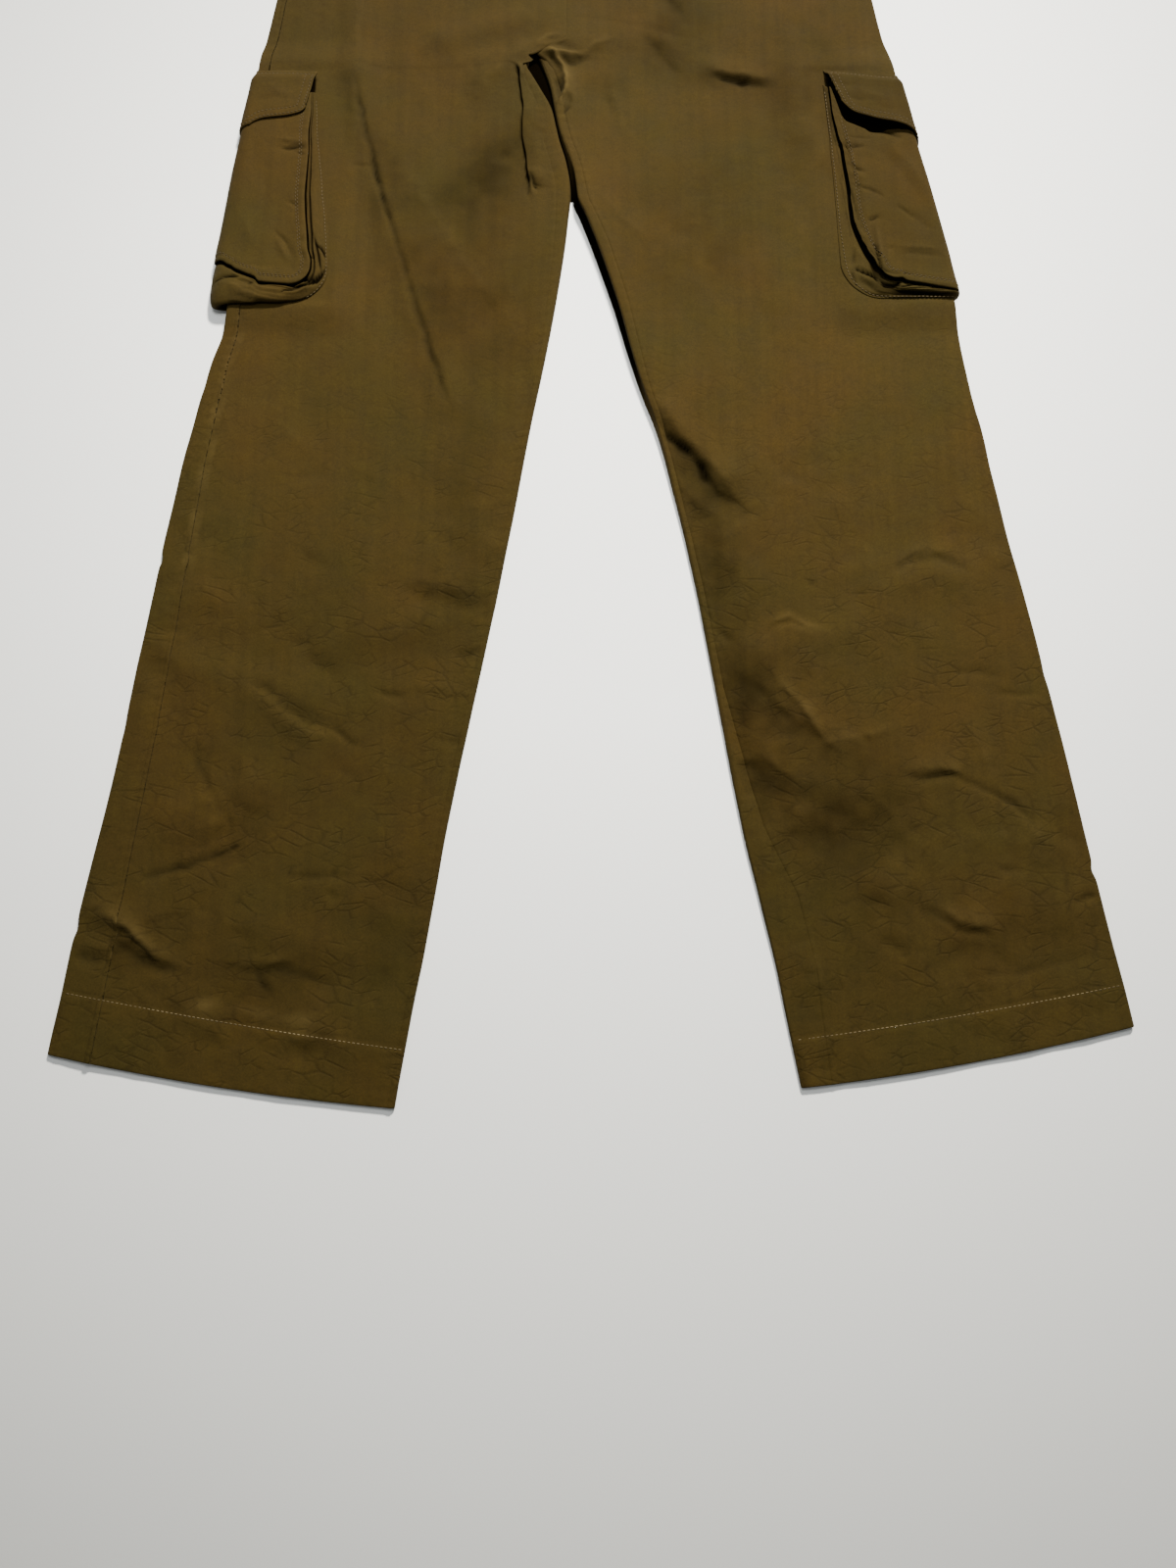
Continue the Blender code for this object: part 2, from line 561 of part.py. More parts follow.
def pocket_outline(side, under, corner, top_line, low_line, shares):
    """The places of a pocket's piece, as two grids: ways round the leg's edge, and y.

    side gives the inner side's place in from the edge at each y, under is how far the piece
    reaches beneath the leg, and corner the radius of its two lower corners. The rows lie at the
    given shares of the way from top_line to low_line.
    """
    shares = np.array(shares)
    angle = np.radians(CORNER_DEGREES)
    inward, rise = corner * (1 - np.cos(angle)), corner * (1 - np.sin(angle))
    top, low = (float(line(on_edge(side(0.0)))) for line in (top_line, low_line))
    inner = on_edge(side(top + (low + corner - top) * shares))[:, None]
    outer = on_edge(under, -1)
    near = inner - inward
    rest = QUARTER + (near[:, -1:] - QUARTER) * np.array([0.66, 0.33])
    beneath = np.concatenate([
        QUARTER / 90 * np.array(TURN_DEGREES),
        -QUARTER + (outer + corner + QUARTER) * np.array([0.35, 0.7]),
        outer + inward[::-1],
    ])
    along = np.concatenate([near, rest, np.tile(beneath, (len(shares), 1))], axis=1)
    level = np.zeros(along.shape[1] - 2 * len(angle))
    foot = low_line(along) + np.concatenate([rise, level, rise[::-1]])
    return along, top_line(along) + (foot - top_line(along)) * shares[:, None]


def face_outline(leg):
    pocket = leg.pocket
    return pocket_outline(
        lambda y: smooth_through(y, pocket.rows, "face"), UNDER_FACE, FACE_CORNER,
        slope_line(leg, pocket.mouth, pocket.mouth),
        slope_line(leg, pocket.low_in, pocket.low_out), FACE_SHARES,
    )


def seam_outline(leg):
    pocket = leg.pocket
    return pocket_outline(
        lambda y: smooth_through(y, pocket.rows, "seam"), UNDER_SEAM, SEAM_CORNER,
        slope_line(leg, pocket.mouth, pocket.mouth),
        slope_line(leg, pocket.bottom, pocket.bottom), FACE_SHARES,
    )


def flap_outline(leg):
    pocket = leg.pocket
    return pocket_outline(
        lambda y: pocket.flap_in + 0 * y, UNDER_FLAP, FLAP_CORNER,
        slope_line(leg, pocket.flap_top_in, pocket.flap_top_out),
        slope_line(leg, pocket.flap_low_in, pocket.flap_low_out), FLAP_SHARES,
    )


def face_lifts(leg, along, y):
    """How far the face's inside stands off the leg: above it, past its edge and below it."""
    pocket = leg.pocket
    inward = on_edge(smooth_through(y, pocket.rows, "face")) - along
    upward = y - slope_line(leg, pocket.low_in, pocket.low_out)(along)
    nearest = np.maximum(np.minimum(inward, upward), 0)
    full = pocket.crown + (pocket.edge_lift - pocket.crown) * np.exp(-((nearest / EDGE_RIM) ** 2))
    top = MOUTH_LIFT + (full - MOUTH_LIFT) * ease((pocket.mouth - y) / MOUTH_RAMP)
    return top, smooth_through(y, pocket.rows, "out"), np.full_like(top, FACE_UNDER_LIFT)


def pocket_face(leg, collection):
    """The face, round the leg's edge, with its rim raised on the bellows."""
    along, y = face_outline(leg)
    grid = round_edge(leg, y, along, *face_lifts(leg, along, y))
    cloth_piece(f"pocket_face_{leg.name}", grid, POCKET_CLOTH, True, TWILL, collection,
                flip=leg is RIGHT)


def border(grid):
    """A grid's first column downwards, its last row across and its last column up again."""
    return np.concatenate([grid[:, 0], grid[-1, 1:], grid[-2::-1, -1]])


def pocket_bellows(leg, collection):
    """The pleated strip between the leg and the face's edge, from mouth to mouth."""
    seam_along, seam_y = (border(grid) for grid in seam_outline(leg))
    face_along, face_y = (border(grid) for grid in face_outline(leg))
    lifts = face_lifts(leg, face_along, face_y)
    width = np.hypot(seam_along - face_along, seam_y - face_y)
    pleated = ease((width - PLEAT_START) / (PLEAT_FULL - PLEAT_START))
    bottom = ease((np.arange(len(width)) - len(FACE_SHARES) + 1) / len(CORNER_DEGREES))
    rows = []
    for column in BELLOWS_COLUMNS:
        share = column.share * (1 - PIECE_GAP / width)
        pleat = column.side + (column.bottom - column.side) * bottom
        heights = column.share + (pleat - column.share) * pleated, column.out, column.share
        rows.append(round_edge(
            leg, seam_y + (face_y - seam_y) * share, seam_along + (face_along - seam_along) * share,
            *(PIECE_GAP + (lift - PIECE_GAP) * height for lift, height in zip(lifts, heights)),
        ))
    cloth_piece(f"pocket_bellows_{leg.name}", np.stack(rows), POCKET_CLOTH, True, TWILL_UNDER,
                collection, flip=leg is LEFT)


def pocket_flap(leg, collection):
    """The flap: sewn to the leg above the mouth, over the face and round the leg's edge."""
    along, y = flap_outline(leg)
    climb = ease((y[0] - y) / FLAP_HINGE)
    gape = leg.pocket.flap_gape * np.array(FLAP_SHARES)[:, None] ** 1.6 * ease(along / 30 + 0.35)
    top, out, under = face_lifts(leg, along, y)
    lifts = (PIECE_GAP + (lift + FLAP_ON_FACE - PIECE_GAP) * climb for lift in (top + gape, out, under))
    grid = round_edge(leg, y, along, *lifts)
    cloth_piece(f"pocket_flap_{leg.name}", grid, POCKET_CLOTH, True, TWILL, collection,
                flip=leg is RIGHT)


# ---- waistband, fly and button

def waistband(collection):
    """One strip round the waist, pressed flat, its ends lapped at the middle of the front."""
    radius = BAND_DEPTH / 2
    centre = LEFT_SECTIONS[-1].inner
    left, right = LEFT_SECTIONS[-1].outer, RIGHT_SECTIONS[-1].outer
    angles = np.radians(np.arange(75, -90, -30))
    lap_top = BAND_DEPTH + BAND_PITCH
    lap_end = centre + BAND_LAP
    slope_start = lap_end + 3
    top_right = np.linspace(slope_start + BAND_LAP_SLOPE, right - radius, 6)
    beneath = np.linspace(right - radius, left + radius, 9)
    top_left = np.linspace(left + radius, lap_end, 6)
    x = np.concatenate([
        [centre - BAND_LAP, centre, slope_start], top_right, right - radius + radius * np.cos(angles),
        beneath, left + radius - radius * np.cos(angles), top_left,
    ])
    z = np.concatenate([
        [lap_top] * 3, np.full(6, BAND_DEPTH), radius + radius * np.sin(angles),
        np.zeros(9), radius - radius * np.sin(angles), np.full(6, BAND_DEPTH),
    ])
    rows = []
    for y in (PANEL_TOP + SEAM, WAIST_Y - BAND_HEIGHT / 2, WAIST_Y):
        narrowing = 1 - 0.016 * (y - PANEL_TOP) / BAND_HEIGHT
        row = np.stack([centre + (x - centre) * narrowing, np.full_like(x, y), z], axis=-1)
        dipped = dip_waist(row.copy())
        rows.append(np.where((z > radius)[:, None], dipped, row))
    cloth_piece("waistband", np.stack(rows), BAND_CLOTH, False, TWILL, collection)


def fly(collection):
    """The stitched lap over the zip, on the right front beside the centre seam."""
    across = np.array([SEAM / 2, 10, FLY_WIDTH - FLY_CORNER, 20, 27, 33, 36.5, FLY_WIDTH])
    past = np.clip(across - (FLY_WIDTH - FLY_CORNER), 0, FLY_CORNER)
    rise = FLY_CORNER - np.sqrt(FLY_CORNER**2 - past**2)
    shares = np.linspace(0, 1, 7)[:, None]
    low = PANEL_TOP - FLY_LENGTH + rise
    y = low + (PANEL_TOP - 1.5 - low) * shares
    t = edges(RIGHT, y)[2] - across
    grid = on_layer(RIGHT, y, t)
    grid[..., 2] += PIECE_GAP
    cloth_piece("fly", dip_waist(grid), POCKET_CLOTH, True, TWILL, collection, flip=False)


def button(collection):
    """A turned button with a raised rim, on the waistband's lap."""
    r, h = BUTTON_RADIUS, BUTTON_HEIGHT
    profile = [(0, h - 0.7), (r - 3.4, h - 0.7), (r - 2.6, h), (r - 0.8, h), (r, h - 0.8),
               (r, 0.8), (r - 0.8, 0), (0, 0)]
    mesh = bpy.data.meshes.new("button")
    mesh.from_pydata([(x * MM, 0, z * MM) for x, z in profile],
                     [(i, i + 1) for i in range(len(profile) - 1)], [])
    mesh.materials.append(material("button", BUTTON_BROWN, 0.45))
    piece = bpy.data.objects.new("button", mesh)
    collection.objects.link(piece)
    centre = LEFT_SECTIONS[-1].inner
    middle = dip_waist(np.array([centre, WAIST_Y - BAND_HEIGHT / 2]))
    piece.location = (
        middle[0] * MM, middle[1] * MM, (BAND_DEPTH + BAND_PITCH + PIECE_GAP) * MM)
    turned = piece.modifiers.new("Turned", "SCREW")
    turned.steps = turned.render_steps = 20
    turned.use_merge_vertices = True
    turned.merge_threshold = 0.00001


def main():
    for old in list(bpy.data.objects):
        bpy.data.objects.remove(old, do_unlink=True)
    collection = bpy.data.collections.new("cargo_pants")
    bpy.context.scene.collection.children.link(collection)
    for leg in (LEFT, RIGHT):
        front_panel(leg, collection)
        back_panel(leg, collection)
        pocket_face(leg, collection)
        pocket_bellows(leg, collection)
        pocket_flap(leg, collection)
    waistband(collection)
    fly(collection)
    button(collection)


main()
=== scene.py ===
import math
from collections import namedtuple

import bpy
import numpy as np
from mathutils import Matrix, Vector


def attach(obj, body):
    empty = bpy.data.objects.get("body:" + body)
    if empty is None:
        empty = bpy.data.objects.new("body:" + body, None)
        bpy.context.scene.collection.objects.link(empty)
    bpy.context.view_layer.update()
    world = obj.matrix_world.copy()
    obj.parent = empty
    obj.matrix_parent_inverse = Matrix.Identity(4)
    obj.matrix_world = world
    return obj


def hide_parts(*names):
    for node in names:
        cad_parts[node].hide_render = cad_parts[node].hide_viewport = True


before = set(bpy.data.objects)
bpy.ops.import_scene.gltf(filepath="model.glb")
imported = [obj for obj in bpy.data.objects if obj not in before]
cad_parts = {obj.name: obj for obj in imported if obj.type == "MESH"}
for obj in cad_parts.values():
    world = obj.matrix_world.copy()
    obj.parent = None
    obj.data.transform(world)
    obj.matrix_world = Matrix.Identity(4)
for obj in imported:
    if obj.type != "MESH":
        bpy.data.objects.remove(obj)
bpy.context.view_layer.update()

# ==== The studio
# A pale matt floor, a broad warm ceiling light towards the top right, and cooler light that comes
# back from the walls. The camera looks down on the shins, tipped a little towards the waist.

MM = 0.001
collection = bpy.context.scene.collection

lens = bpy.data.cameras.new("camera")
lens.lens, lens.sensor_width, lens.clip_start = 27.0, 36.0, 0.01
camera = bpy.data.objects.new("camera", lens)
camera.location = (-0.0025, -0.503, 0.825)
camera.rotation_euler = (math.radians(12), 0, 0)
collection.objects.link(camera)
bpy.context.scene.camera = camera


def soft_light(name, place, aim, size, watts, colour):
    """A round lamp at a place, turned to its aim."""
    lamp = bpy.data.lights.new(name, "AREA")
    lamp.shape, lamp.size, lamp.energy, lamp.color = "DISK", size, watts, colour
    light = bpy.data.objects.new(name, lamp)
    light.location = place
    light.rotation_euler = (Vector(aim) - Vector(place)).to_track_quat("-Z", "Y").to_euler()
    collection.objects.link(light)


soft_light("window_light", (0.52, 1.42, 1.48), (0.0, -0.05, 0.0), 0.30, 190, (1.0, 0.97, 0.90))
soft_light("ceiling_light", (-0.1, 0.15, 1.35), (0.0, 0.1, 0.0), 0.6, 12, (0.97, 0.99, 1.0))
world = bpy.data.worlds.new("room")
world.use_nodes = True
world.node_tree.nodes["Background"].inputs["Color"].default_value = (0.93, 0.98, 1.0, 1.0)
world.node_tree.nodes["Background"].inputs["Strength"].default_value = 0.33
bpy.context.scene.world = world


def feed(tree, node, inputs):
    """Gives a node's inputs their values, or links sockets to them."""
    for socket, value in inputs.items():
        if isinstance(value, bpy.types.NodeSocket):
            tree.links.new(value, node.inputs[socket])
        else:
            node.inputs[socket].default_value = value


def add_node(tree, kind, inputs=None, **settings):
    """A shader node with its settings and inputs."""
    node = tree.nodes.new("ShaderNode" + kind)
    for name, value in settings.items():
        setattr(node, name, value)
    feed(tree, node, inputs or {})
    return node


def maths(tree, operation, *values):
    """The output of a Math node on numbers or sockets."""
    return add_node(tree, "Math", dict(enumerate(values)), operation=operation).outputs[0]


def times(tree, first, second):
    """first times second."""
    return maths(tree, "MULTIPLY", first, second)


def scaled(tree, value, by, plus):
    """value times by, plus plus."""
    return maths(tree, "MULTIPLY_ADD", value, by, plus)


def ramp(tree, value, start, end, low=0.0, high=1.0):
    """A value from start to end, held at both, drawn to low to high."""
    ends = {"From Min": start, "From Max": end, "To Min": low, "To Max": high}
    return add_node(tree, "MapRange", {"Value": value, **ends}).outputs[0]


def vector_maths(tree, operation, *values):
    """The outputs of a Vector Math node."""
    return add_node(tree, "VectorMath", dict(enumerate(values)), operation=operation).outputs


def tinted(tree, share, first, second, blend_type="MIX"):
    """The output of a colour Mix node: share 0 gives the first colour and 1 the second."""
    inputs = {0: share, 6: first, 7: second}
    return add_node(tree, "Mix", inputs, data_type="RGBA", blend_type=blend_type).outputs[2]


def noise(tree, place, scale, detail=2.0, roughness=0.5):
    """Cloudy values about 0.5 at a place."""
    inputs = {"Vector": place, "Scale": scale, "Detail": detail, "Roughness": roughness}
    return add_node(tree, "TexNoise", inputs).outputs["Fac"]


def bump(tree, strength, distance, height, **inputs):
    """The normal that a height gives."""
    inputs.update(Strength=strength, Distance=distance, Height=height)
    return add_node(tree, "Bump", inputs).outputs[0]


def surface_material(name):
    """A new material, its node tree, its Principled shader and the place on the object."""
    made = bpy.data.materials.new(name)
    made.use_nodes = True
    tree = made.node_tree
    return made, tree, tree.nodes["Principled BSDF"], add_node(tree, "TexCoord").outputs["Object"]


def put_in_scene(mesh, finish):
    """A new object of the mesh's name, in its finish."""
    mesh.materials.append(finish)
    piece = bpy.data.objects.new(mesh.name, mesh)
    collection.objects.link(piece)
    return piece


floor_vinyl, tree, shader, where = surface_material("floor_vinyl")
cloudy = noise(tree, where, 2.5, 3.0)
grain = noise(tree, where, 900.0)
pale = tinted(tree, cloudy, (0.86, 0.86, 0.83, 1), (0.90, 0.895, 0.86, 1))
# painted shade: the floor's colour darkens away from the middle, as the light falls off towards the
# edges
apart = vector_maths(tree, "DISTANCE", where, (0.0, -0.08, 0.0))["Value"]
pale = tinted(tree, ramp(tree, apart, 0.20, 0.85, 0.0, 0.84), pale, (0.30, 0.30, 0.285, 1))
relief = bump(tree, 0.08, 0.0004, grain)
feed(tree, shader, {"Base Color": pale, "Normal": relief, "Roughness": 0.62})
FLOOR_REACH, FLOOR_BELOW = 4, -0.0003
floor_mesh = bpy.data.meshes.new("floor")
floor_mesh.from_pydata(
    [(x * FLOOR_REACH, y * FLOOR_REACH, FLOOR_BELOW)
     for x, y in ((-1, -1), (1, -1), (1, 1), (-1, 1))], [], [(0, 1, 2, 3)])
floor = put_in_scene(floor_mesh, floor_vinyl)

# ==== The leg panels
# Light cotton twill, piece-dyed olive brown and washed soft. Each leg is two panels sewn along an
# outseam and an inseam, pressed flat so that a top layer lies on an under layer.

LEG_DEPTH = 3.1
FOLD = LEG_DEPTH / 2
RISE_REACH = 48.0
HEM_BOW, HEM_BOW_FADE = 4.0, 70.0
PANEL_TOP = 512.5
CROTCH_Y = 278.0
WAIST_DIP, WAIST_DIP_REACH = 14.0, 110.0
POCKET_STACK, POCKET_RAMP = 4.3, 30.0
SEAM_LAP = 0.15             # a front's edge goes this far on under a back's at their seam
LAYERS = 1.1                 # how much height the two layers need where a trough goes deepest
TOP, UNDER = 1, -1

# y is the middle's, outer and inner the x of the folded edges, tilt turns the section to the leg's
# axis, rise_out and rise_in lift the top layer along the edges, round_in is how wide the inner
# fold rounds over, outseam and inseam are the seams' places in from the edges
SECTION = "y outer inner tilt rise_out rise_in round_in outseam inseam"


def table(columns, *rows):
    """Rows of values under named columns."""
    Row = namedtuple("Row", columns)
    return tuple(Row(*row) for row in rows)


LEFT_SECTIONS = table(SECTION,
    (-534, -371.0, -133.0, -8.5, 0.3, 0.3, FOLD, 27, 5),
    (-443, -359.0, -118.5, -8.3, 0.8, 0.6, FOLD, 25, 5),
    (-343, -343.0, -102.0, -7.5, 1.0, 0.8, FOLD, 21, 5),
    (-243, -330.4, -83.3, -6.0, 0.8, 0.8, FOLD, 19, 5),
    (-143, -318.0, -63.3, -4.0, 0.8, 1.0, FOLD, 16, 5),
    (-43, -303.0, -46.0, -2.0, 1.2, 1.4, FOLD, 12, 5),
    (0, -294.0, -37.5, -1.2, 1.6, 1.6, FOLD, 10, 5),
    (30, -286.0, -32.0, -0.6, 1.6, 1.8, FOLD, 8, 6),
    (57, -283.0, -27.5, 0.0, 1.4, 2.0, FOLD, 7, 7),
    (107, -280.5, -20.5, 0.0, 1.2, 2.4, FOLD, 6, 9),
    (130, -279.3, -18.2, 0.0, 1.2, 2.5, FOLD, 6, 10),
    (153, -278.0, -16.2, 0.0, 1.2, 2.6, FOLD, 6, 12),
    (163, -277.4, -16.7, 0.0, 1.2, 2.6, FOLD, 6, 12),
    (183, -276.4, -19.9, 0.0, 1.2, 2.7, FOLD, 6, 13),
    (203, -275.3, -25.4, 0.0, 1.2, 2.8, FOLD, 6, 13),
    (216, -274.6, -28.2, 0.0, 1.2, 2.9, FOLD, 6, 12),
    (231, -273.8, -31.4, 0.0, 1.2, 3.0, FOLD, 6, 11),
    (252, -272.5, -41.5, 0.0, 1.2, 3.4, FOLD, 6, 9),
    (264, -271.8, -48.0, 0.0, 1.2, 3.8, FOLD, 6, 7),
    (272, -271.4, -52.0, 0.0, 1.2, 4.2, FOLD, 6, 5),
    (278, -270.9, -51.0, 0.0, 1.2, 4.6, FOLD, 6, 3),
    (284, -270.4, -44.0, 0.0, 1.2, 5.0, FOLD, 6, 0),
    (291, -269.0, -33.0, 0.0, 1.2, 5.0, FOLD, 6, 0),
    (300, -267.5, -20.0, 0.0, 1.2, 4.6, FOLD, 6, 0),
    (340, -261.5, -20.0, 0.0, 1.0, 2.6, FOLD, 5, 0),
    (400, -252.0, -20.0, 0.0, 1.0, 1.6, FOLD, 4, 0),
    (460, -239.5, -20.0, 0.0, 1.0, 1.2, FOLD, 4, 0),
    (PANEL_TOP, -225.0, -20.0, 0.0, 0.6, 0.6, FOLD, 4, 0),
)

RIGHT_SECTIONS = table(SECTION,
    (-518, 372.0, 142.5, 10.1, 0.3, 0.3, FOLD, -8, 21),
    (-443, 359.0, 128.5, 10.0, 0.8, 0.6, FOLD, -8, 27),
    (-393, 351.2, 117.7, 9.5, 0.8, 0.8, FOLD, -8, 27),
    (-343, 343.6, 107.5, 9.0, 0.9, 1.0, FOLD, -8, 15),
    (-243, 328.1, 89.7, 7.0, 0.8, 1.0, FOLD, -8, 6),
    (-143, 310.6, 72.7, 5.0, 0.8, 1.2, FOLD, -8, 5),
    (-93, 303.0, 61.3, 4.0, 1.0, 1.8, FOLD, -8, 5),
    (-62, 299.0, 54.0, 3.4, 1.0, 2.6, FOLD, -8, 5),
    (-43, 294.6, 48.5, 3.0, 1.2, 4.0, 3.0, -8, 6),
    (-15, 290.6, 38.0, 2.2, 1.4, 5.6, 5.0, -8, 7.5),
    (15, 287.0, 28.5, 1.4, 1.4, 7.0, 7.0, -8, 9.5),
    (57, 283.0, 16.0, 0.0, 1.2, 8.4, 9.6, -8, 12),
    (107, 274.6, 0.0, 0.0, 1.2, 9.0, 10.6, -8, 13),
    (133, 270.3, -9.3, 0.0, 1.2, 8.8, 9.9, -8, 12),
    (146, 268.1, -14.3, 0.0, 1.2, 8.4, 9.0, -8, 12),
    (163, 265.3, -15.7, 0.0, 1.2, 7.4, 6.8, -8, 10),
    (183, 261.9, -18.9, 0.0, 1.2, 5.6, 4.0, -8, 9),
    (203, 258.6, -24.2, 0.0, 1.2, 4.0, 2.0, -8, 8),
    (216, 256.4, -27.2, 0.0, 1.2, 3.0, FOLD, -8, 8),
    (231, 253.8, -29.8, 0.0, 1.2, 2.2, FOLD, -8, 8),
    (241, 252.0, -31.2, 0.0, 1.2, 1.2, FOLD, -8, 8),
    (252, 250.0, -33.0, 0.0, 1.2, 0.6, FOLD, -8, 8),
    (270, 247.2, -38.5, 0.0, 1.2, 0.6, FOLD, -8, 8),
    (279, 245.4, -42.0, 0.0, 1.2, 1.4, FOLD, -8, 5),
    (284, 244.4, -43.8, 0.0, 1.2, 3.6, FOLD, -8, 0),
    (291, 242.8, -33.0, 0.0, 1.2, 5.0, FOLD, -8, 0),
    (300, 240.6, -20.0, 0.0, 1.2, 4.6, FOLD, -8, 0),
    (340, 234.0, -20.0, 0.0, 1.0, 2.6, FOLD, -8, 0),
    (400, 225.0, -20.0, 0.0, 1.0, 1.6, FOLD, -8, 0),
    (460, 213.0, -20.0, 0.0, 1.0, 1.2, FOLD, -8, 0),
    (PANEL_TOP, 199.0, -20.0, 0.0, 0.6, 0.6, FOLD, -8, 0),
)

# small nicks where a crease runs over a folded edge: reach is half its length along the edge
NICK = "y depth reach"
LEFT_NICKS = table(NICK, (-168, 1.3, 5), (-448, 1.5, 6), (-300, 0.5, 9), (-20, 0.6, 10))
RIGHT_NICKS = table(NICK, (-410, 1.6, 5), (-262, 0.6, 8), (-62, 0.5, 9))

# band_out and band_in are the height of the hem's turn-up at the two edges, pocket_low and
# pocket_high the ends of the cargo pocket, whose under half lifts the leg
Leg = namedtuple("Leg", "name sections nicks band_out band_in pocket_low pocket_high pocket_in")
LEFT = Leg("left", LEFT_SECTIONS, LEFT_NICKS, 42.0, 38.5, 56, 266, 76)
RIGHT = Leg("right", RIGHT_SECTIONS, RIGHT_NICKS, 28.5, 31.5, 59, 264, 80)
RAMP_START = 78.0
RAMP_END = RAMP_START + POCKET_RAMP


def through(points, rows, column):
    """A column of a table at points of its first column, on a cubic that never overshoots a row."""
    xs = np.array([row[0] for row in rows], float)
    ys = np.array([getattr(row, column) for row in rows], float)
    gaps = np.diff(xs)
    rates = np.diff(ys) / gaps
    slopes = np.concatenate([rates[:1], np.zeros(len(xs) - 2), rates[-1:]])
    same_way = rates[:-1] * rates[1:] > 0
    before, after = rates[:-1][same_way], rates[1:][same_way]
    slopes[1:-1][same_way] = 2 * before * after / (before + after)
    at = np.clip(np.asarray(points, float), xs[0], xs[-1])
    k = np.clip(np.searchsorted(xs, at, side="right") - 1, 0, len(gaps) - 1)
    u = (at - xs[k]) / gaps[k]
    return (
        (1 + 2 * u) * (1 - u) ** 2 * ys[k]
        + u * (1 - u) ** 2 * gaps[k] * slopes[k]
        + u**2 * (3 - 2 * u) * ys[k + 1]
        + u**2 * (u - 1) * gaps[k] * slopes[k + 1]
    )


def straight(points, rows, column):
    """The same on straight lines between the rows."""
    return np.interp(points, [row[0] for row in rows], [getattr(row, column) for row in rows])


def ease(x):
    """3x^2 - 2x^3, held at 0 below 0 and at 1 above 1."""
    x = np.clip(x, 0.0, 1.0)
    return x * x * (3 - 2 * x)


def bell(x, width):
    """exp(-(x / width)^2)."""
    return np.exp(-((x / width) ** 2))


def plateau(x, low, high, ramp):
    """1 from low to high, and eased to 0 over a ramp beyond each."""
    return ease((x - low) / ramp + 1) * ease((high - x) / ramp + 1)


def inside(t, width, margin, ramp):
    """0 within a margin of both edges, eased over a ramp to 1 between them."""
    return ease((t - margin) / ramp) * ease((width - t - margin) / ramp)


def way_along(points):
    """How far along its row each point lies."""
    steps = np.linalg.norm(np.diff(points, axis=-2), axis=-1)
    return np.cumsum(np.concatenate([np.zeros((*steps.shape[:-1], 1)), steps], axis=-1), axis=-1)


def unit(vectors):
    """Vectors drawn out to a length of 1."""
    return vectors / np.maximum(np.linalg.norm(vectors, axis=-1, keepdims=True), 1e-9)


def drift(x, y, pitch, seed):
    """Soft hills from -1 to 1: random heights on a square lattice, eased from knot to knot."""
    lattice = np.random.default_rng(seed).uniform(-1, 1, (97, 97))
    u, v = np.asarray(x) / pitch + 48.5, np.asarray(y) / pitch + 48.5
    i, j = np.floor(u).astype(int), np.floor(v).astype(int)
    a, b = ease(u - i), ease(v - j)
    i, j = i % 96, j % 96
    low = lattice[i, j] * (1 - a) + lattice[i + 1, j] * a
    high = lattice[i, j + 1] * (1 - a) + lattice[i + 1, j + 1] * a
    return low * (1 - b) + high * b


def edges(leg, y):
    """The outer edge's point, the direction across to the inner edge, and the width, at each y.

    The edges are the sections' curves, nicked, and wavering by half a millimetre below the hip.
    """
    y = np.asarray(y, float)
    outer = through(y, leg.sections, "outer")
    inner = through(y, leg.sections, "inner")
    inward = np.sign(inner - outer)
    for nick in leg.nicks:
        outer = outer + inward * nick.depth * bell(y - nick.y, nick.reach)
    calm = 1 - ease(y / 60)
    outer = outer + 0.55 * drift(y, 0 * y, 34, 11) * calm
    inner = inner + 0.5 * drift(y, 0 * y, 41, 12) * calm
    tilt = np.tan(np.radians(through(y, leg.sections, "tilt")))
    half = (inner - outer) / 2
    start = np.stack([outer, y - half * tilt], axis=-1)
    across = np.stack([2 * half, 2 * half * tilt], axis=-1)
    width = np.linalg.norm(across, axis=-1)
    return start, across / width[..., None], width


def in_plan(leg, y, t):
    """The x and y of points t in from the outer edge. Towards the hem the rows bow down."""
    start, across, width = edges(leg, y)
    point = start + across * np.asarray(t)[..., None]
    share = np.clip(t / width, 0, 1)
    near_hem = np.clip(1 - (y - leg.sections[0].y) / HEM_BOW_FADE, 0, 1)
    point[..., 1] -= HEM_BOW * 4 * share * (1 - share) * near_hem
    return point


def lift_under(leg, y, t):
    """How far the pocket's under half holds the under layer off the floor."""
    along = plateau(y, leg.pocket_low - 4, leg.pocket_high + 4, POCKET_RAMP)
    return POCKET_STACK * along * ease((RAMP_END - t) / POCKET_RAMP)


# the panel's broad ridges, from (x0, y0) to (x1, y1), as the frame has them
RIDGES = table("x0 y0 x1 y1 width height",
    (-193, 262, -165, 150, 11, 2.4), (-165, 150, -109, -30, 12, 2.2),
    (-196, 400, -190, 268, 14, 2.4), (-60, 225, -104, 158, 16, 2.6), (-42, 322, -120, 300, 13, 3.0),
    (-62, 285, -92, 262, 14, 2.0), (-40, 420, -75, 365, 16, 1.8), (-215, -262, -290, -240, 15, 1.6),
    (-190, -225, -120, -208, 14, 1.8), (-296, -352, -236, -330, 15, 1.8),
    (-250, -430, -170, -448, 13, 1.4), (58, -40, 100, -92, 11, 4.2), (102, 272, 142, 262, 10, 2.4),
    (60, 318, 20, 268, 16, 2.4), (140, 420, 120, 340, 18, 1.6), (170, 180, 150, 60, 20, 1.4),
    (128, -228, 190, -214, 15, 2.0), (120, -262, 178, -300, 16, 2.2),
    (215, -180, 258, -165, 14, 1.6), (190, -330, 250, -318, 16, 1.8),
    (260, -430, 330, -420, 14, 1.4),
)


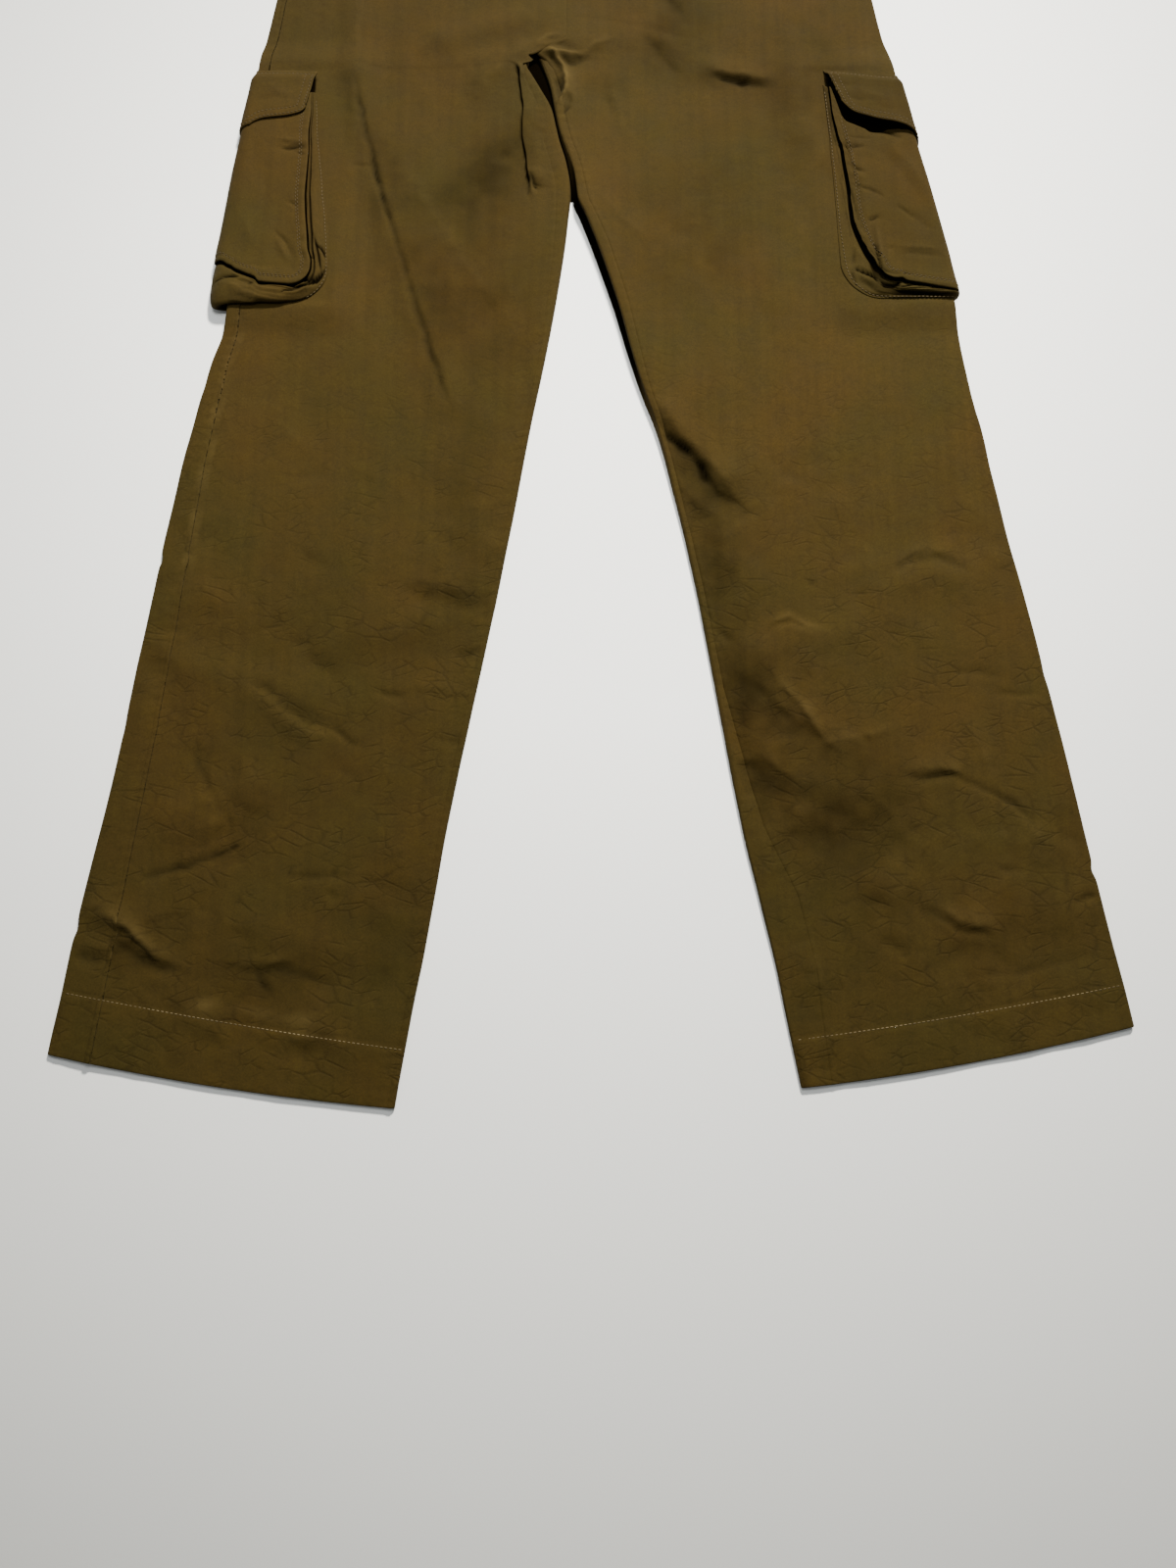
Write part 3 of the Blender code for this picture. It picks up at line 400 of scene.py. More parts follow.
def broad_ridges(point):
    """The ridges' height: each falls off as exp(-(distance / width)^2)."""
    height = np.zeros(point.shape[:-1])
    for ridge in RIDGES:
        start = np.array([ridge.x0, ridge.y0], float)
        run = np.array([ridge.x1, ridge.y1], float) - start
        share = np.clip((point - start) @ run / (run @ run), 0, 1)
        away = np.linalg.norm(point - start - share[..., None] * run, axis=-1)
        height += ridge.height * bell(away, ridge.width)
    return height


def skin_height(leg, y, t, layer):
    """The height of the pressed leg's outside, on its top or under layer, without fine creases."""
    under = lift_under(leg, y, t)
    if layer == UNDER:
        return under
    width = edges(leg, y)[2]
    out = through(y, leg.sections, "rise_out") * bell(t, RISE_REACH)
    into = through(y, leg.sections, "rise_in") * bell(width - t, RISE_REACH)
    ridges = broad_ridges(in_plan(leg, y, t)) * inside(t, width, 0, 14)
    return under + LEG_DEPTH + out + into + ridges


def creases(*rows):
    """Creases from rows of height, left, right and then the x and y of each point of the path.

    The height is negative for a trough. Left and right are how far each side of it reaches as one
    goes along its path.
    """
    return table("height left right path", *(
        (*row[:3], np.reshape(row[3:], (-1, 2)).astype(float)) for row in rows))


# the top layer's creases
CREASES = creases(
    # left thigh and hip
    (1.3, 4, 15, -192, 255, -180, 205, -166, 150, -145, 82, -124, 14, -109, -32),
    (-3.2, 2.3, 3.6, -193, 258, -188, 240, -180, 205, -166, 150, -150, 97, -145, 82),
    (-2.6, 2.3, 5, -149, 97, -142, 70, -122, 8, -108, -36),
    (1.1, 6, 12, -173, 208, -136, 153, -99, 91, -64, 39),
    (0.9, 4, 12, -195, 345, -192, 300, -189, 262),
    (-0.9, 3, 4, -222, 244, -206, 235, -190, 221),
    (0.8, 3, 7, -205, 246, -196, 232),
    (-1.9, 16, 20, -50, 222, -66, 190, -88, 163, -112, 136),
    (1.5, 12, 7, -75, 212, -100, 178, -130, 150),
    (-1.6, 9, 11, -44, 301, -68, 291, -92, 272, -104, 252),
    (1.2, 7, 10, -60, 276, -84, 262, -100, 240),
    (0.7, 6, 9, -120, 310, -150, 285, -160, 250),
    (-0.7, 6, 7, -60, 335, -45, 322, -24, 314),
    # the crotch: pits at the seam's foot, a ridge between, the rim beside the slit, the tuck's end
    (-3.4, 3.2, 4, -34, 295, -27, 293, -21, 291, -17, 287),
    (1.4, 3, 3, -44, 291, -36, 300, -24, 301),
    (2.4, 1.8, 2.6, -32, 285, -22, 284, -8, 283),
    (-3.2, 2.6, 5, -27, 279, -16, 275, -6, 279),
    (1.3, 5, 3, -7, 282, 2, 292, 16, 298),
    (3.6, 9, 3, -40, 288, -30, 284, -23, 272, -20, 259, -21, 249, -27, 236),
    (1.8, 1.8, 1.8, -36, 288, -29, 283, -22, 271, -19.5, 259, -21, 248, -28, 234),
    (-2.4, 3, 3, -30, 263, -27, 251, -29, 239),
    (-2.8, 1.5, 1.5, -18, 246, -17.5, 240, -19.5, 232, -22.5, 226),
    (-2.4, 1.3, 1.5, -50, 170, -49.5, 160, -50.5, 151),
    (-2.2, 1.3, 1.5, -49, 169, -45, 162, -42, 157),
    (1.2, 1.5, 1.5, -47, 163, -46, 156, -45, 150),
    (0.9, 5, 5, 14, 262, 22, 232, 27, 204),
    (-1.0, 3, 4, 12, 245, 16, 234, 22, 222),
    (-0.9, 1.4, 1.6, -191, 178, -183, 178, -175, 180),
    # right hip and thigh
    (-2.0, 4, 6, 42, 299, 54, 290, 64, 275, 72, 268),
    (1.0, 6, 8, 54, 302, 70, 290, 86, 286),
    (-2.4, 4, 6, 62, 341, 70, 331, 78, 322),
    (-0.5, 3, 4, -15, 319, 9, 317, 36, 311, 62, 305, 90, 300),
    (-2.8, 2.2, 4, 100, 264, 122, 258, 142, 254),
    (1.5, 5, 2.5, 98, 270, 124, 264, 146, 258),
    (0.9, 9, 5, 2, 153, 26, 128, 42, 114, 52, 92),
    (-0.7, 9, 12, 96, 210, 86, 150, 92, 90, 104, 30),
    (0.8, 10, 14, 170, 236, 160, 150, 158, 60, 176, -20),
    (-0.6, 8, 8, 120, 120, 132, 50, 150, -10),
    # the right knee's lapped fold, running in from the inner edge
    (1.0, 8, 3, 48, -38, 62, -52, 78, -68, 92, -84, 106, -104, 122, -114),
    (-3.4, 2.2, 8, 42, -42, 54, -53, 70, -68, 84, -84, 94, -105, 114, -116),
    (0.8, 5, 4, 66, -96, 84, -118, 110, -132),
    (-0.7, 6, 8, 120, -60, 150, -90, 190, -100),
    # right shin
    (1.7, 2.4, 8, 128, -212, 136, -204, 146, -201, 158, -209, 170, -212),
    (-1.2, 6, 2.2, 127, -216, 137, -208, 147, -206, 160, -213),
    (-0.6, 2, 3, 158, -174, 167, -177),
    (-0.9, 3, 4, 218, -170, 235, -160, 257, -156, 282, -167),
    (0.6, 5, 3, 222, -160, 250, -147, 280, -158),
    (-0.9, 3, 4, 91, -214, 104, -221),
    (-2.3, 5, 19, 97, -252, 117, -254, 140, -280, 166, -298),
    (1.4, 7, 3, 130, -243, 150, -268, 170, -299),
    (0.9, 3, 5, 165, -299, 192, -294, 218, -287),
    (-0.7, 3, 3, 192, -290, 202, -300),
    (-1.5, 1.8, 3.6, 226, -322, 236, -324, 250, -321, 264, -324),
    (1.3, 7, 2.5, 228, -318, 248, -316, 266, -320),
    (-1.2, 1.8, 2.6, 264, -324, 284, -333, 301, -342, 313, -356),
    (-2.0, 6, 13, 108, -312, 126, -327, 144, -339, 158, -336),
    (1.1, 8, 4, 112, -302, 134, -316, 152, -326),
    (-1.7, 8, 11, 136, -362, 168, -370, 198, -369),
    (0.8, 5, 8, 190, -327, 212, -350, 228, -372),
    (-0.9, 2.2, 2.6, 237, -420, 254, -432, 278, -436),
    (0.9, 7, 2.5, 240, -414, 257, -426, 280, -431),
    (-0.9, 5, 6, 188, -411, 210, -416),
    (-1.2, 7, 8, 199, -438, 220, -453),
    (-0.6, 3, 4, 240, -466, 292, -463, 348, -449),
    (-0.6, 2.5, 3, 288, -350, 295, -366),
    (-0.5, 2.5, 3, 283, -389, 306, -392),
    (-0.6, 2.5, 3, 261, -245, 282, -244, 303, -248),
    (-0.7, 2.5, 3, 292, -261, 326, -262),
    (0.6, 6, 3, 267, -276, 283, -309, 288, -330),
    (-0.8, 4, 6, 129, -399, 148, -418),
    (0.9, 4, 7, 150, -440, 158, -462, 160, -486),
    (-1.4, 2, 3, 338, -413, 347, -409, 358, -409),
    (-0.5, 2, 2, 138, -432, 152, -446, 160, -448),
    # left shin
    (-1.2, 5, 7, -248, -254, -234, -260, -226, -264),
    (-1.0, 3, 5, -222, -220, -206, -223),
    (-1.6, 10, 12, -137, -182, -108, -189, -78, -196),
    (1.0, 8, 6, -140, -172, -108, -178, -80, -186),
    (-1.3, 3, 5, -98, -233, -84, -229),
    (-0.8, 5, 8, -216, -153, -197, -162),
    (1.2, 4, 9, -250, -256, -209, -287, -171, -298),
    (-1.2, 6, 4, -228, -268, -206, -282, -184, -290),
    (-1.2, 2.2, 4, -186, -288, -174, -297, -166, -301),
    (-0.9, 9, 9, -208, -232, -192, -246, -186, -258),
    (-0.9, 2.4, 4, -156, -259, -142, -263, -134, -262),
    (0.7, 5, 5, -132, -258, -108, -255, -92, -262),
    (-1.3, 2.4, 3, -314, -396, -280, -385, -246, -371),
    (0.6, 2.2, 3, -254, -380, -247, -373, -240, -369),
    (-0.6, 3, 3, -286, -309, -274, -330, -264, -350),
    (-0.6, 3, 3, -262, -346, -254, -366, -246, -388),
    (-0.9, 2, 3, -212, -394, -190, -394, -170, -395),
    (-0.7, 2, 3, -187, -405, -175, -410),
    (-1.0, 3, 4, -106, -296, -92, -300),
    (2.0, 8, 3, -341, -420, -320, -433, -303, -450, -288, -457),
    (-1.6, 2.0, 5, -334, -438, -314, -450, -300, -457, -284, -460),
    (-1.5, 3, 4, -357, -449, -346, -452, -338, -452),
    (1.0, 5, 3, -354, -440, -342, -446, -330, -444),
    (-1.1, 2.5, 4, -259, -458, -232, -461, -211, -460, -174, -471),
    (-1.2, 3, 3, -234, -464, -226, -471, -219, -478),
    (1.0, 5, 4, -238, -452, -222, -455, -208, -452),
    (-1.2, 7, 10, -162, -478, -150, -468, -138, -458),
    (-0.8, 8, 10, -252, -428, -240, -440, -234, -452),
    # the hips, drawn softly towards the fly
    (0.9, 8, 12, -150, 470, -128, 420, -120, 380),
    (-0.8, 7, 9, 90, 480, 104, 430, 96, 390),
    (0.8, 8, 8, 60, 450, 40, 410, 34, 370),
    (-0.7, 6, 8, -60, 470, -84, 430),
)

# the under layer's creases lift it off the floor
UNDER_CREASES = creases(
    (0.8, 5, 9, -250, -60, -190, -84, -130, -80),
    (0.7, 4, 8, -290, -250, -230, -262, -160, -250),
    (0.9, 6, 5, -200, -330, -150, -318, -118, -326),
    (0.6, 4, 6, -310, -420, -250, -430),
    (0.8, 9, 6, -170, 160, -140, 80, -128, 10),
    (0.7, 6, 9, -90, 330, -60, 250, -52, 190),
    (0.8, 6, 9, 110, -70, 170, -92, 230, -84),
    (0.7, 8, 5, 120, -240, 190, -256, 270, -246),
    (0.9, 4, 7, 160, -340, 220, -352, 262, -344),
    (0.6, 5, 5, 230, -440, 300, -428),
    (0.8, 8, 7, 150, 170, 138, 90, 150, 20),
    (0.7, 9, 6, 60, 340, 40, 260, 44, 200),
)


def creased(x, y, folds):
    """The creases' height at (x, y), and how far the narrow ones draw a line there.

    Each falls off as exp(-(distance / width)^1.5) to its sides, and to a quarter at its ends.
    """
    total = np.zeros(np.broadcast(x, y).shape)
    line = np.zeros(total.shape)
    for crease in folds:
        path = crease.path
        reach = 3.2 * max(crease.left, crease.right)
        (x0, y0), (x1, y1) = path.min(axis=0) - reach, path.max(axis=0) + reach
        near = (x > x0) & (x < x1) & (y > y0) & (y < y1)
        point = np.stack([x[near], y[near]], axis=-1)[:, None]
        run = np.diff(path, axis=0)
        length = np.linalg.norm(run, axis=1)
        share = np.clip(((point - path[:-1]) * run).sum(-1) / length**2, 0, 1)
        away = point - path[:-1] - share[..., None] * run
        gap = np.linalg.norm(away, axis=-1)
        pick = np.arange(len(gap)), gap.argmin(axis=1)
        side = (run[:, 0] * away[..., 1] - run[:, 1] * away[..., 0])[pick]
        width = np.where(side > 0, crease.left, crease.right)
        before = way_along(path)
        along = (before[:-1] + share * length)[pick] / before[-1]
        fade = 1 - 0.75 * np.abs(2 * along - 1) ** 2.5
        height = crease.height * fade * np.exp(-((gap[pick] / width) ** 1.5))
        total[near] += height
        line[near] += height * min(1.0, (2.6 / min(crease.left, crease.right)) ** 1.5)
    return total, line


def wandering(x, y, folds):
    """The creases and their lines, wandering by a millimetre or two and uneven."""
    wander = 0.9 * drift(x, y, 11, 81) + 0.5 * drift(x, y, 5, 82)
    aside = 0.9 * drift(x, y, 11, 83) + 0.5 * drift(x, y, 5, 84)
    uneven = (1 + 0.35 * drift(x, y, 8, 85)) * (1 + 0.35 * ease((-120 - y) / 60))
    height, line = creased(x + wander, y + aside, folds)
    return height * uneven, line * uneven


def facets(x, y, pitch, seed):
    """Flat triangles between random heights, -1 to 1, on a lattice: creased like crumpled cloth."""
    lattice = np.random.default_rng(seed).uniform(-1, 1, (97, 97))
    u, v = (x - 0.5 * y) / pitch + 48.5, y * 0.9 / pitch + 48.5
    i, j = np.floor(u).astype(int), np.floor(v).astype(int)
    a, b = u - i, v - j
    i, j = i % 96, j % 96
    near, right = lattice[i, j], lattice[i + 1, j]
    up, far = lattice[i, j + 1], lattice[i + 1, j + 1]
    low = near + a * (right - near) + b * (up - near)
    return np.where(a + b < 1, low, far + (1 - a) * (up - far) + (1 - b) * (right - far))


# washing leaves random crumples between the creases, in three sizes and directions
CRUMPLES = table("pitch height across down seed",
    (31, 1.5, 1.0, -0.45, 73), (19, 1.05, 0.8, 0.6, 74), (10.5, 0.62, 1.0, 0.1, 75),
)


def crumpled(x, y):
    """The facets' height on a wandering lattice, strongest below the knees."""
    aside = 9 * drift(x, y, 44, 71) + 3 * drift(x, y, 15, 72)
    down = 9 * drift(x, y, 44, 78) + 3 * drift(x, y, 15, 79)
    total = 0
    for crumple in CRUMPLES:
        u = crumple.across * (x + aside) - crumple.down * (y + down)
        v = crumple.down * (x + aside) + crumple.across * (y + down) * 1.25
        total = total + crumple.height * facets(u, v, crumple.pitch, crumple.seed)
    patchy = np.clip(0.6 + 0.8 * drift(x, y, 58, 77), 0.15, 1.15)
    return total * patchy * (0.13 + 0.87 * ease((-20 - y) / 150))


def pocket_zone(leg, y, t):
    """1 where a cargo pocket lies on the leg and 0 away from it."""
    return plateau(y, leg.pocket_low, leg.pocket_high, 6) * ease((leg.pocket_in + 6 - t) / 6)


def hem_band(leg, y, t):
    """How far a point lies above the hem's stitch line, in mm: negative on the turn-up."""
    share = np.clip(t / edges(leg, y)[2], 0, 1)
    return y - leg.sections[0].y - (leg.band_out + (leg.band_in - leg.band_out) * share)


def seam_relief(past, y):
    """A pressed seam at past 0: a narrow ditch between puckered shoulders on its allowance."""
    pucker = 0.16 * np.sin(y / 1.3 + 5 * drift(y, 0 * y, 23, 6)) * bell(past, 4.5)
    allowance = 0.25 * plateau(past, -10, 1.5, 2.5)
    return allowance + pucker - 0.3 * bell(past, 0.75)


def dressed(leg, y, t, layer):
    """A point of the leg's outside with all its relief, and how crested or sunk in it is there."""
    y, t = np.broadcast_arrays(np.asarray(y, float), np.asarray(t, float))
    plan = in_plan(leg, y, t)
    x, v = plan[..., 0], plan[..., 1]
    height = skin_height(leg, y, t, layer)
    width = edges(leg, y)[2]
    calm = (1 - pocket_zone(leg, y, t)) * (1 - 0.8 * ease((y - 470) / 40))
    fade = inside(t, width, 1, 6)
    if layer == UNDER:
        fine = creased(x, v, UNDER_CREASES)[0] * calm * fade
        return np.concatenate([plan, (height + fine)[..., None]], axis=-1), fine
    hills = 0.9 * drift(x, v * 0.8, 62, 1) + 0.45 * drift(x, v, 31, 2)
    crumples = crumpled(x, v)
    fine, line = (part * calm * fade for part in wandering(x, v, CREASES))
    above = hem_band(leg, y, t)
    hem = 0.4 * ease(-above / 1.5) - 0.45 * bell(above, 1.0)
    pucker = 0.12 * np.sin(t / 1.9 + 2 * drift(t, y, 14, 5)) * bell(above, 5)
    hem_calm = ease(above / 22 + 1.6)
    seams = seam_relief(t - through(y, leg.sections, "outseam"), v) if leg is LEFT else 0.0
    inseam = straight(y, leg.sections, "inseam")
    seams = seams + seam_relief(width - t - inseam, v) * ease(inseam / 3)
    rough = (hills * inside(t, width, 2, 26) + crumples * inside(t, width, 1, 9)) * calm
    relief = (fine + rough) * (0.35 + 0.65 * hem_calm)
    room = (height - lift_under(leg, y, t) - LAYERS) / 2
    bottomed = -room * (2 - np.exp(np.minimum(relief / room + 1, 0)))
    relief = np.where(relief < -room, bottomed, relief)
    height = height + relief + hem + pucker + seams * calm
    mark = line + 0.3 * (fine - line) + 0.5 * crumples * calm + 0.3 * seams
    return np.concatenate([plan, height[..., None]], axis=-1), mark


# where the right thigh's top layer stands proud of its inner fold, the fold is a narrow shelf under
# an overhanging wall: back and rise are shares of the way in and up, by the angle round the edge
SHELF = table("angle back rise",
    (0, 0.00, 0.00), (12, 0.03, 0.07), (24, 0.14, 0.09), (36, 0.30, 0.10), (46, 0.40, 0.17),
    (54, 0.43, 0.34), (62, 0.41, 0.60), (69, 0.40, 0.80), (76, 0.43, 0.95), (83, 0.56, 1.00),
    (90, 1.00, 1.00),
)


def shelf_share(leg, y):
    """How far the inner fold is a shelf, from 0 to 1."""
    proud = np.clip((through(y, leg.sections, "round_in") - FOLD - 1) / 4, 0, 1)
    return proud * ease((205 - y) / 60) * (leg is RIGHT)


def turned(leg, y, inner, degrees):
    """Points round a folded edge: 90 degrees is its top, 0 its outermost line, -90 underneath."""
    width = edges(leg, y)[2]
    angle = np.radians(degrees)
    over = np.sin(angle) > 0
    round_over = np.full(np.broadcast(y, angle).shape, FOLD)
    if inner:
        round_over = np.where(over, through(y, leg.sections, "round_in"), FOLD)
    shelf = shelf_share(leg, y) * over if inner else 0.0
    turn = np.abs(np.degrees(angle))
    back = 1 - np.cos(angle)
    back = round_over * (back + (through(turn, SHELF, "back") - back) * shelf)
    up = np.abs(np.sin(angle))
    up = up + (through(turn, SHELF, "rise") - up) * shelf
    t = width - back if inner else back
    apex = skin_height(leg, y, width * float(inner), UNDER) + FOLD
    end = width - round_over if inner else round_over
    edge = np.where(over, skin_height(leg, y, end, TOP), skin_height(leg, y, end, UNDER))
    height = apex + (edge - apex) * up
    return np.concatenate([in_plan(leg, y, t), height[..., None]], axis=-1)


# rows of the panels, closer where more happens: each stretch ends at y
ROW_BANDS = table("y step",
    (-500, 1.7), (-330, 2.0), (-150, 1.9), (-20, 2.0), (120, 2.1), (300, 1.6), (345, 2.0),
    (PANEL_TOP, 4.0),
)


def panel_rows(leg):
    """The y of a panel's rows, as a column."""
    start = leg.sections[0].y
    rows = [np.array([start], float)]
    for band in ROW_BANDS:
        count = math.ceil((band.y - start) / band.step)
        rows.append(np.linspace(start, band.y, count + 1)[1:])
        start = band.y
    return np.concatenate(rows)[:, None]


def spread(start, end, count, tight_start=False, tight_end=False):
    """count places from start to end, and a few more close to a seam at either end."""
    close = np.array([0.6, 1.3, 2.4])
    low, high = start + 4.0 * tight_start, end - 4.0 * tight_end
    parts = [low + (high - low) * np.linspace(0, 1, count)]
    if tight_start:
        parts = [start, start + close, *parts]
    if tight_end:
        parts += [end - close[::-1], end]
    rows = max(np.shape(part)[0] for part in parts if np.ndim(part) > 1)
    parts = [np.broadcast_to(part, (rows, np.shape(part)[-1])) for part in parts]
    return np.concatenate(parts, axis=1)


def dip_waist(point):
    """The front of the waist hangs lower towards its middle."""
    reach = ease((point[..., 1] - (PANEL_TOP - WAIST_DIP_REACH)) / WAIST_DIP_REACH)
    centre, side = LEFT_SECTIONS[-1].inner, LEFT_SECTIONS[-1].outer
    middle = np.cos(np.clip((point[..., 0] - centre) / (centre - side), -1, 1) * math.pi / 2) ** 2
    point[..., 1] -= WAIST_DIP * reach * middle
    return point


def outward_normals(grid, flip):
    """Unit normals of a grid's vertices, from the differences to their neighbours."""
    down, across = np.gradient(grid, axis=0), np.gradient(grid, axis=1)
    return unit(np.cross(across, down) * (-1 if flip else 1))


TURN_UP_RADIUS, TURN_UP_ROWS = 0.62, 5


def with_turn_up(grid, flip):
    """The panel with its hem rolled inwards: round the edge, then 9 mm up inside."""
    normal = outward_normals(grid, flip)
    down = unit(grid[:1] - grid[2:3])
    rows = [grid[5:6] - 2 * TURN_UP_RADIUS * normal[5:6]]
    for angle in np.radians([180, 135, 90, 45]):
        rows.append(
            grid[:1] + TURN_UP_RADIUS * np.sin(angle) * down
            - TURN_UP_RADIUS * (1 - np.cos(angle)) * normal[:1])
    return np.concatenate(rows + [grid])


def add_mark(mesh, label, values):
    """Keeps a value for each point as an attribute."""
    mark = mesh.attributes.new(label, "FLOAT", "POINT")
    mark.data.foreach_set("value", np.asarray(values).astype(np.float32).ravel())


def sewn_on(mesh, finish):
    """A piece of the pants: smooth, in its finish, and part of their one body."""
    mesh.shade_smooth()
    piece = put_in_scene(mesh, finish)
    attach(piece, "root")
    return piece


def cloth_mesh(name, grid, wall=0, flip=False, crest=0.0, band=0.0, painted_shade=0.0):
    """A sheet of twill over a grid of points in mm, with a wall turned inwards unless that is 0.

    Its UV map is the way along each row and down the middle column, in metres. Crest, band and
    the painted shade are kept as attributes of its points.
    """
    rows, columns = grid.shape[:2]
    index = np.arange(rows * columns).reshape(rows, columns)
    corners = [index[:-1, :-1], index[:-1, 1:], index[1:, 1:], index[1:, :-1]]
    if flip:
        corners.reverse()
    faces = np.stack(corners, axis=-1).reshape(-1, 4)
    mesh = bpy.data.meshes.new(name)
    mesh.vertices.add(rows * columns)
    mesh.vertices.foreach_set("co", (grid * MM).astype(np.float32).ravel())
    mesh.loops.add(faces.size)
    mesh.loops.foreach_set("vertex_index", faces.ravel().astype(np.int32))
    mesh.polygons.add(len(faces))
    mesh.polygons.foreach_set("loop_start", np.arange(0, faces.size, 4, dtype=np.int32))
    mesh.update(calc_edges=True)
    middle = columns // 2
    across = way_along(grid)
    down = way_along(grid[:, middle])[:, None]
    uv = np.stack(np.broadcast_arrays(across - across[:, [middle]], down), axis=-1)
    uv = uv.reshape(-1, 2) * MM
    layer = mesh.uv_layers.new(name="cloth")
    layer.data.foreach_set("uv", uv[faces.ravel()].astype(np.float32).ravel())
    for label, values in {"crest": crest, "band": band, "painted_shade": painted_shade}.items():
        add_mark(mesh, label, np.broadcast_to(values, (rows, columns)))
    piece = sewn_on(mesh, twill_face)
    if wall:
        shell = piece.modifiers.new("wall", "SOLIDIFY")
        shell.thickness, shell.offset = wall * MM, -1.0
    return piece


# ---- what the twill looks like: the weave, the dye and the wear, as groups that each finish uses

def start_group(name, inputs, outputs):
    """A node group, its given inputs and the node that takes its results."""
    group = bpy.data.node_groups.new(name, "ShaderNodeTree")
    for in_out, sockets in (("INPUT", inputs), ("OUTPUT", outputs)):
        for label, kind in sockets.items():
            group.interface.new_socket(label, in_out=in_out, socket_type="NodeSocket" + kind)
    return group, group.nodes.new("NodeGroupInput").outputs, group.nodes.new("NodeGroupOutput")


TWILL_RIB = 0.62              # mm from one diagonal rib to the next

# diagonal ribs of the twill, crossed by its yarns and wavering as hand-washed cloth does
weave, given, result = start_group(
    "twill_weave", {"Place": "Vector", "Rib": "Float"},
    {"Height": "Float", "Slub": "Float"})
place = add_node(weave, "VectorMath", {0: given["Place"], 3: 1000.0}, operation="SCALE").outputs[0]
axes = add_node(weave, "SeparateXYZ", {0: place}).outputs
waver = noise(weave, place, 0.3)
slant = maths(weave, "ADD", times(weave, axes[0], 0.62), times(weave, axes[1], 0.78))
slant = maths(weave, "ADD", slant, times(weave, waver, 0.9))
rib = maths(weave, "SINE", times(weave, maths(weave, "DIVIDE", slant, given["Rib"]), 6.2832))
yarn = maths(weave, "SINE", times(weave, maths(weave, "DIVIDE", axes[0], given["Rib"]), 9.1))
woven = scaled(weave, rib, 0.5, times(weave, yarn, 0.22))
stretched = vector_maths(weave, "MULTIPLY", place, (0.16, 2.6, 1.0))[0]
slub = noise(weave, stretched, 1.0, 2.0, 0.6)
feed(weave, result, {"Height": woven, "Slub": slub})

# the dye lies unevenly: wide patches of browner and greener cloth, blotches, and faint streaks
dye, given, result = start_group(
    "uneven_dye", {"Place": "Vector"},
    {"Patch": "Float", "Blotch": "Float", "Streak": "Float"})
patch = noise(dye, given["Place"], 9.0, 3.0, 0.55)
blotch = noise(dye, given["Place"], 60.0, 4.0, 0.6)
streak = noise(dye, vector_maths(dye, "MULTIPLY", given["Place"], (170.0, 9.0, 60.0))[0], 1.0)
feed(dye, result, {"Patch": ramp(dye, patch, 0.35, 0.65), "Blotch": ramp(dye, blotch, 0.3, 0.7),
                   "Streak": ramp(dye, streak, 0.25, 0.75)})

# fine wrinkles, finer than the panels' own points: soft slanting noises, and where the cloth was
# crushed, hair creases along the borders of warped cells, in patches
wrinkle, given, result = start_group(
    "fine_wrinkles", {"Place": "Vector", "Crushed": "Float"},
    {"Height": "Float", "Crease": "Float"})
sway = {"Vector": given["Place"], "Scale": 26.0, "Detail": 3.0}
sway = add_node(wrinkle, "TexNoise", sway).outputs["Color"]
swayed = vector_maths(wrinkle, "MULTIPLY_ADD", sway, (0.007, 0.007, 0.0), given["Place"])[0]
height = noise(wrinkle, given["Place"], 120.0, 2.0, 0.45)
lines = []
for turn, stretch, spacing in ((0.35, (44.0, 112.0, 1.0), 31.0), (-0.4, (70.0, 150.0, 1.0), 47.0)):
    place = add_node(wrinkle, "VectorRotate", {"Vector": swayed, "Angle": turn},
                     rotation_type="Z_AXIS").outputs[0]
    place = vector_maths(wrinkle, "MULTIPLY", place, stretch)[0]
    cells = add_node(wrinkle, "TexVoronoi", {"Vector": place, "Scale": 1.0},
                     voronoi_dimensions="2D", feature="DISTANCE_TO_EDGE").outputs["Distance"]
    border_line = ramp(wrinkle, cells, 0.0, 0.13, 1.0, 0.0)
    patchy = ramp(wrinkle, noise(wrinkle, given["Place"], spacing), 0.50, 0.66)
    lines.append(times(wrinkle, border_line, patchy))
hair = times(wrinkle, maths(wrinkle, "MAXIMUM", *lines), given["Crushed"])
feed(wrinkle, result, {"Crease": hair, "Height": scaled(wrinkle, hair, -0.5, height)})


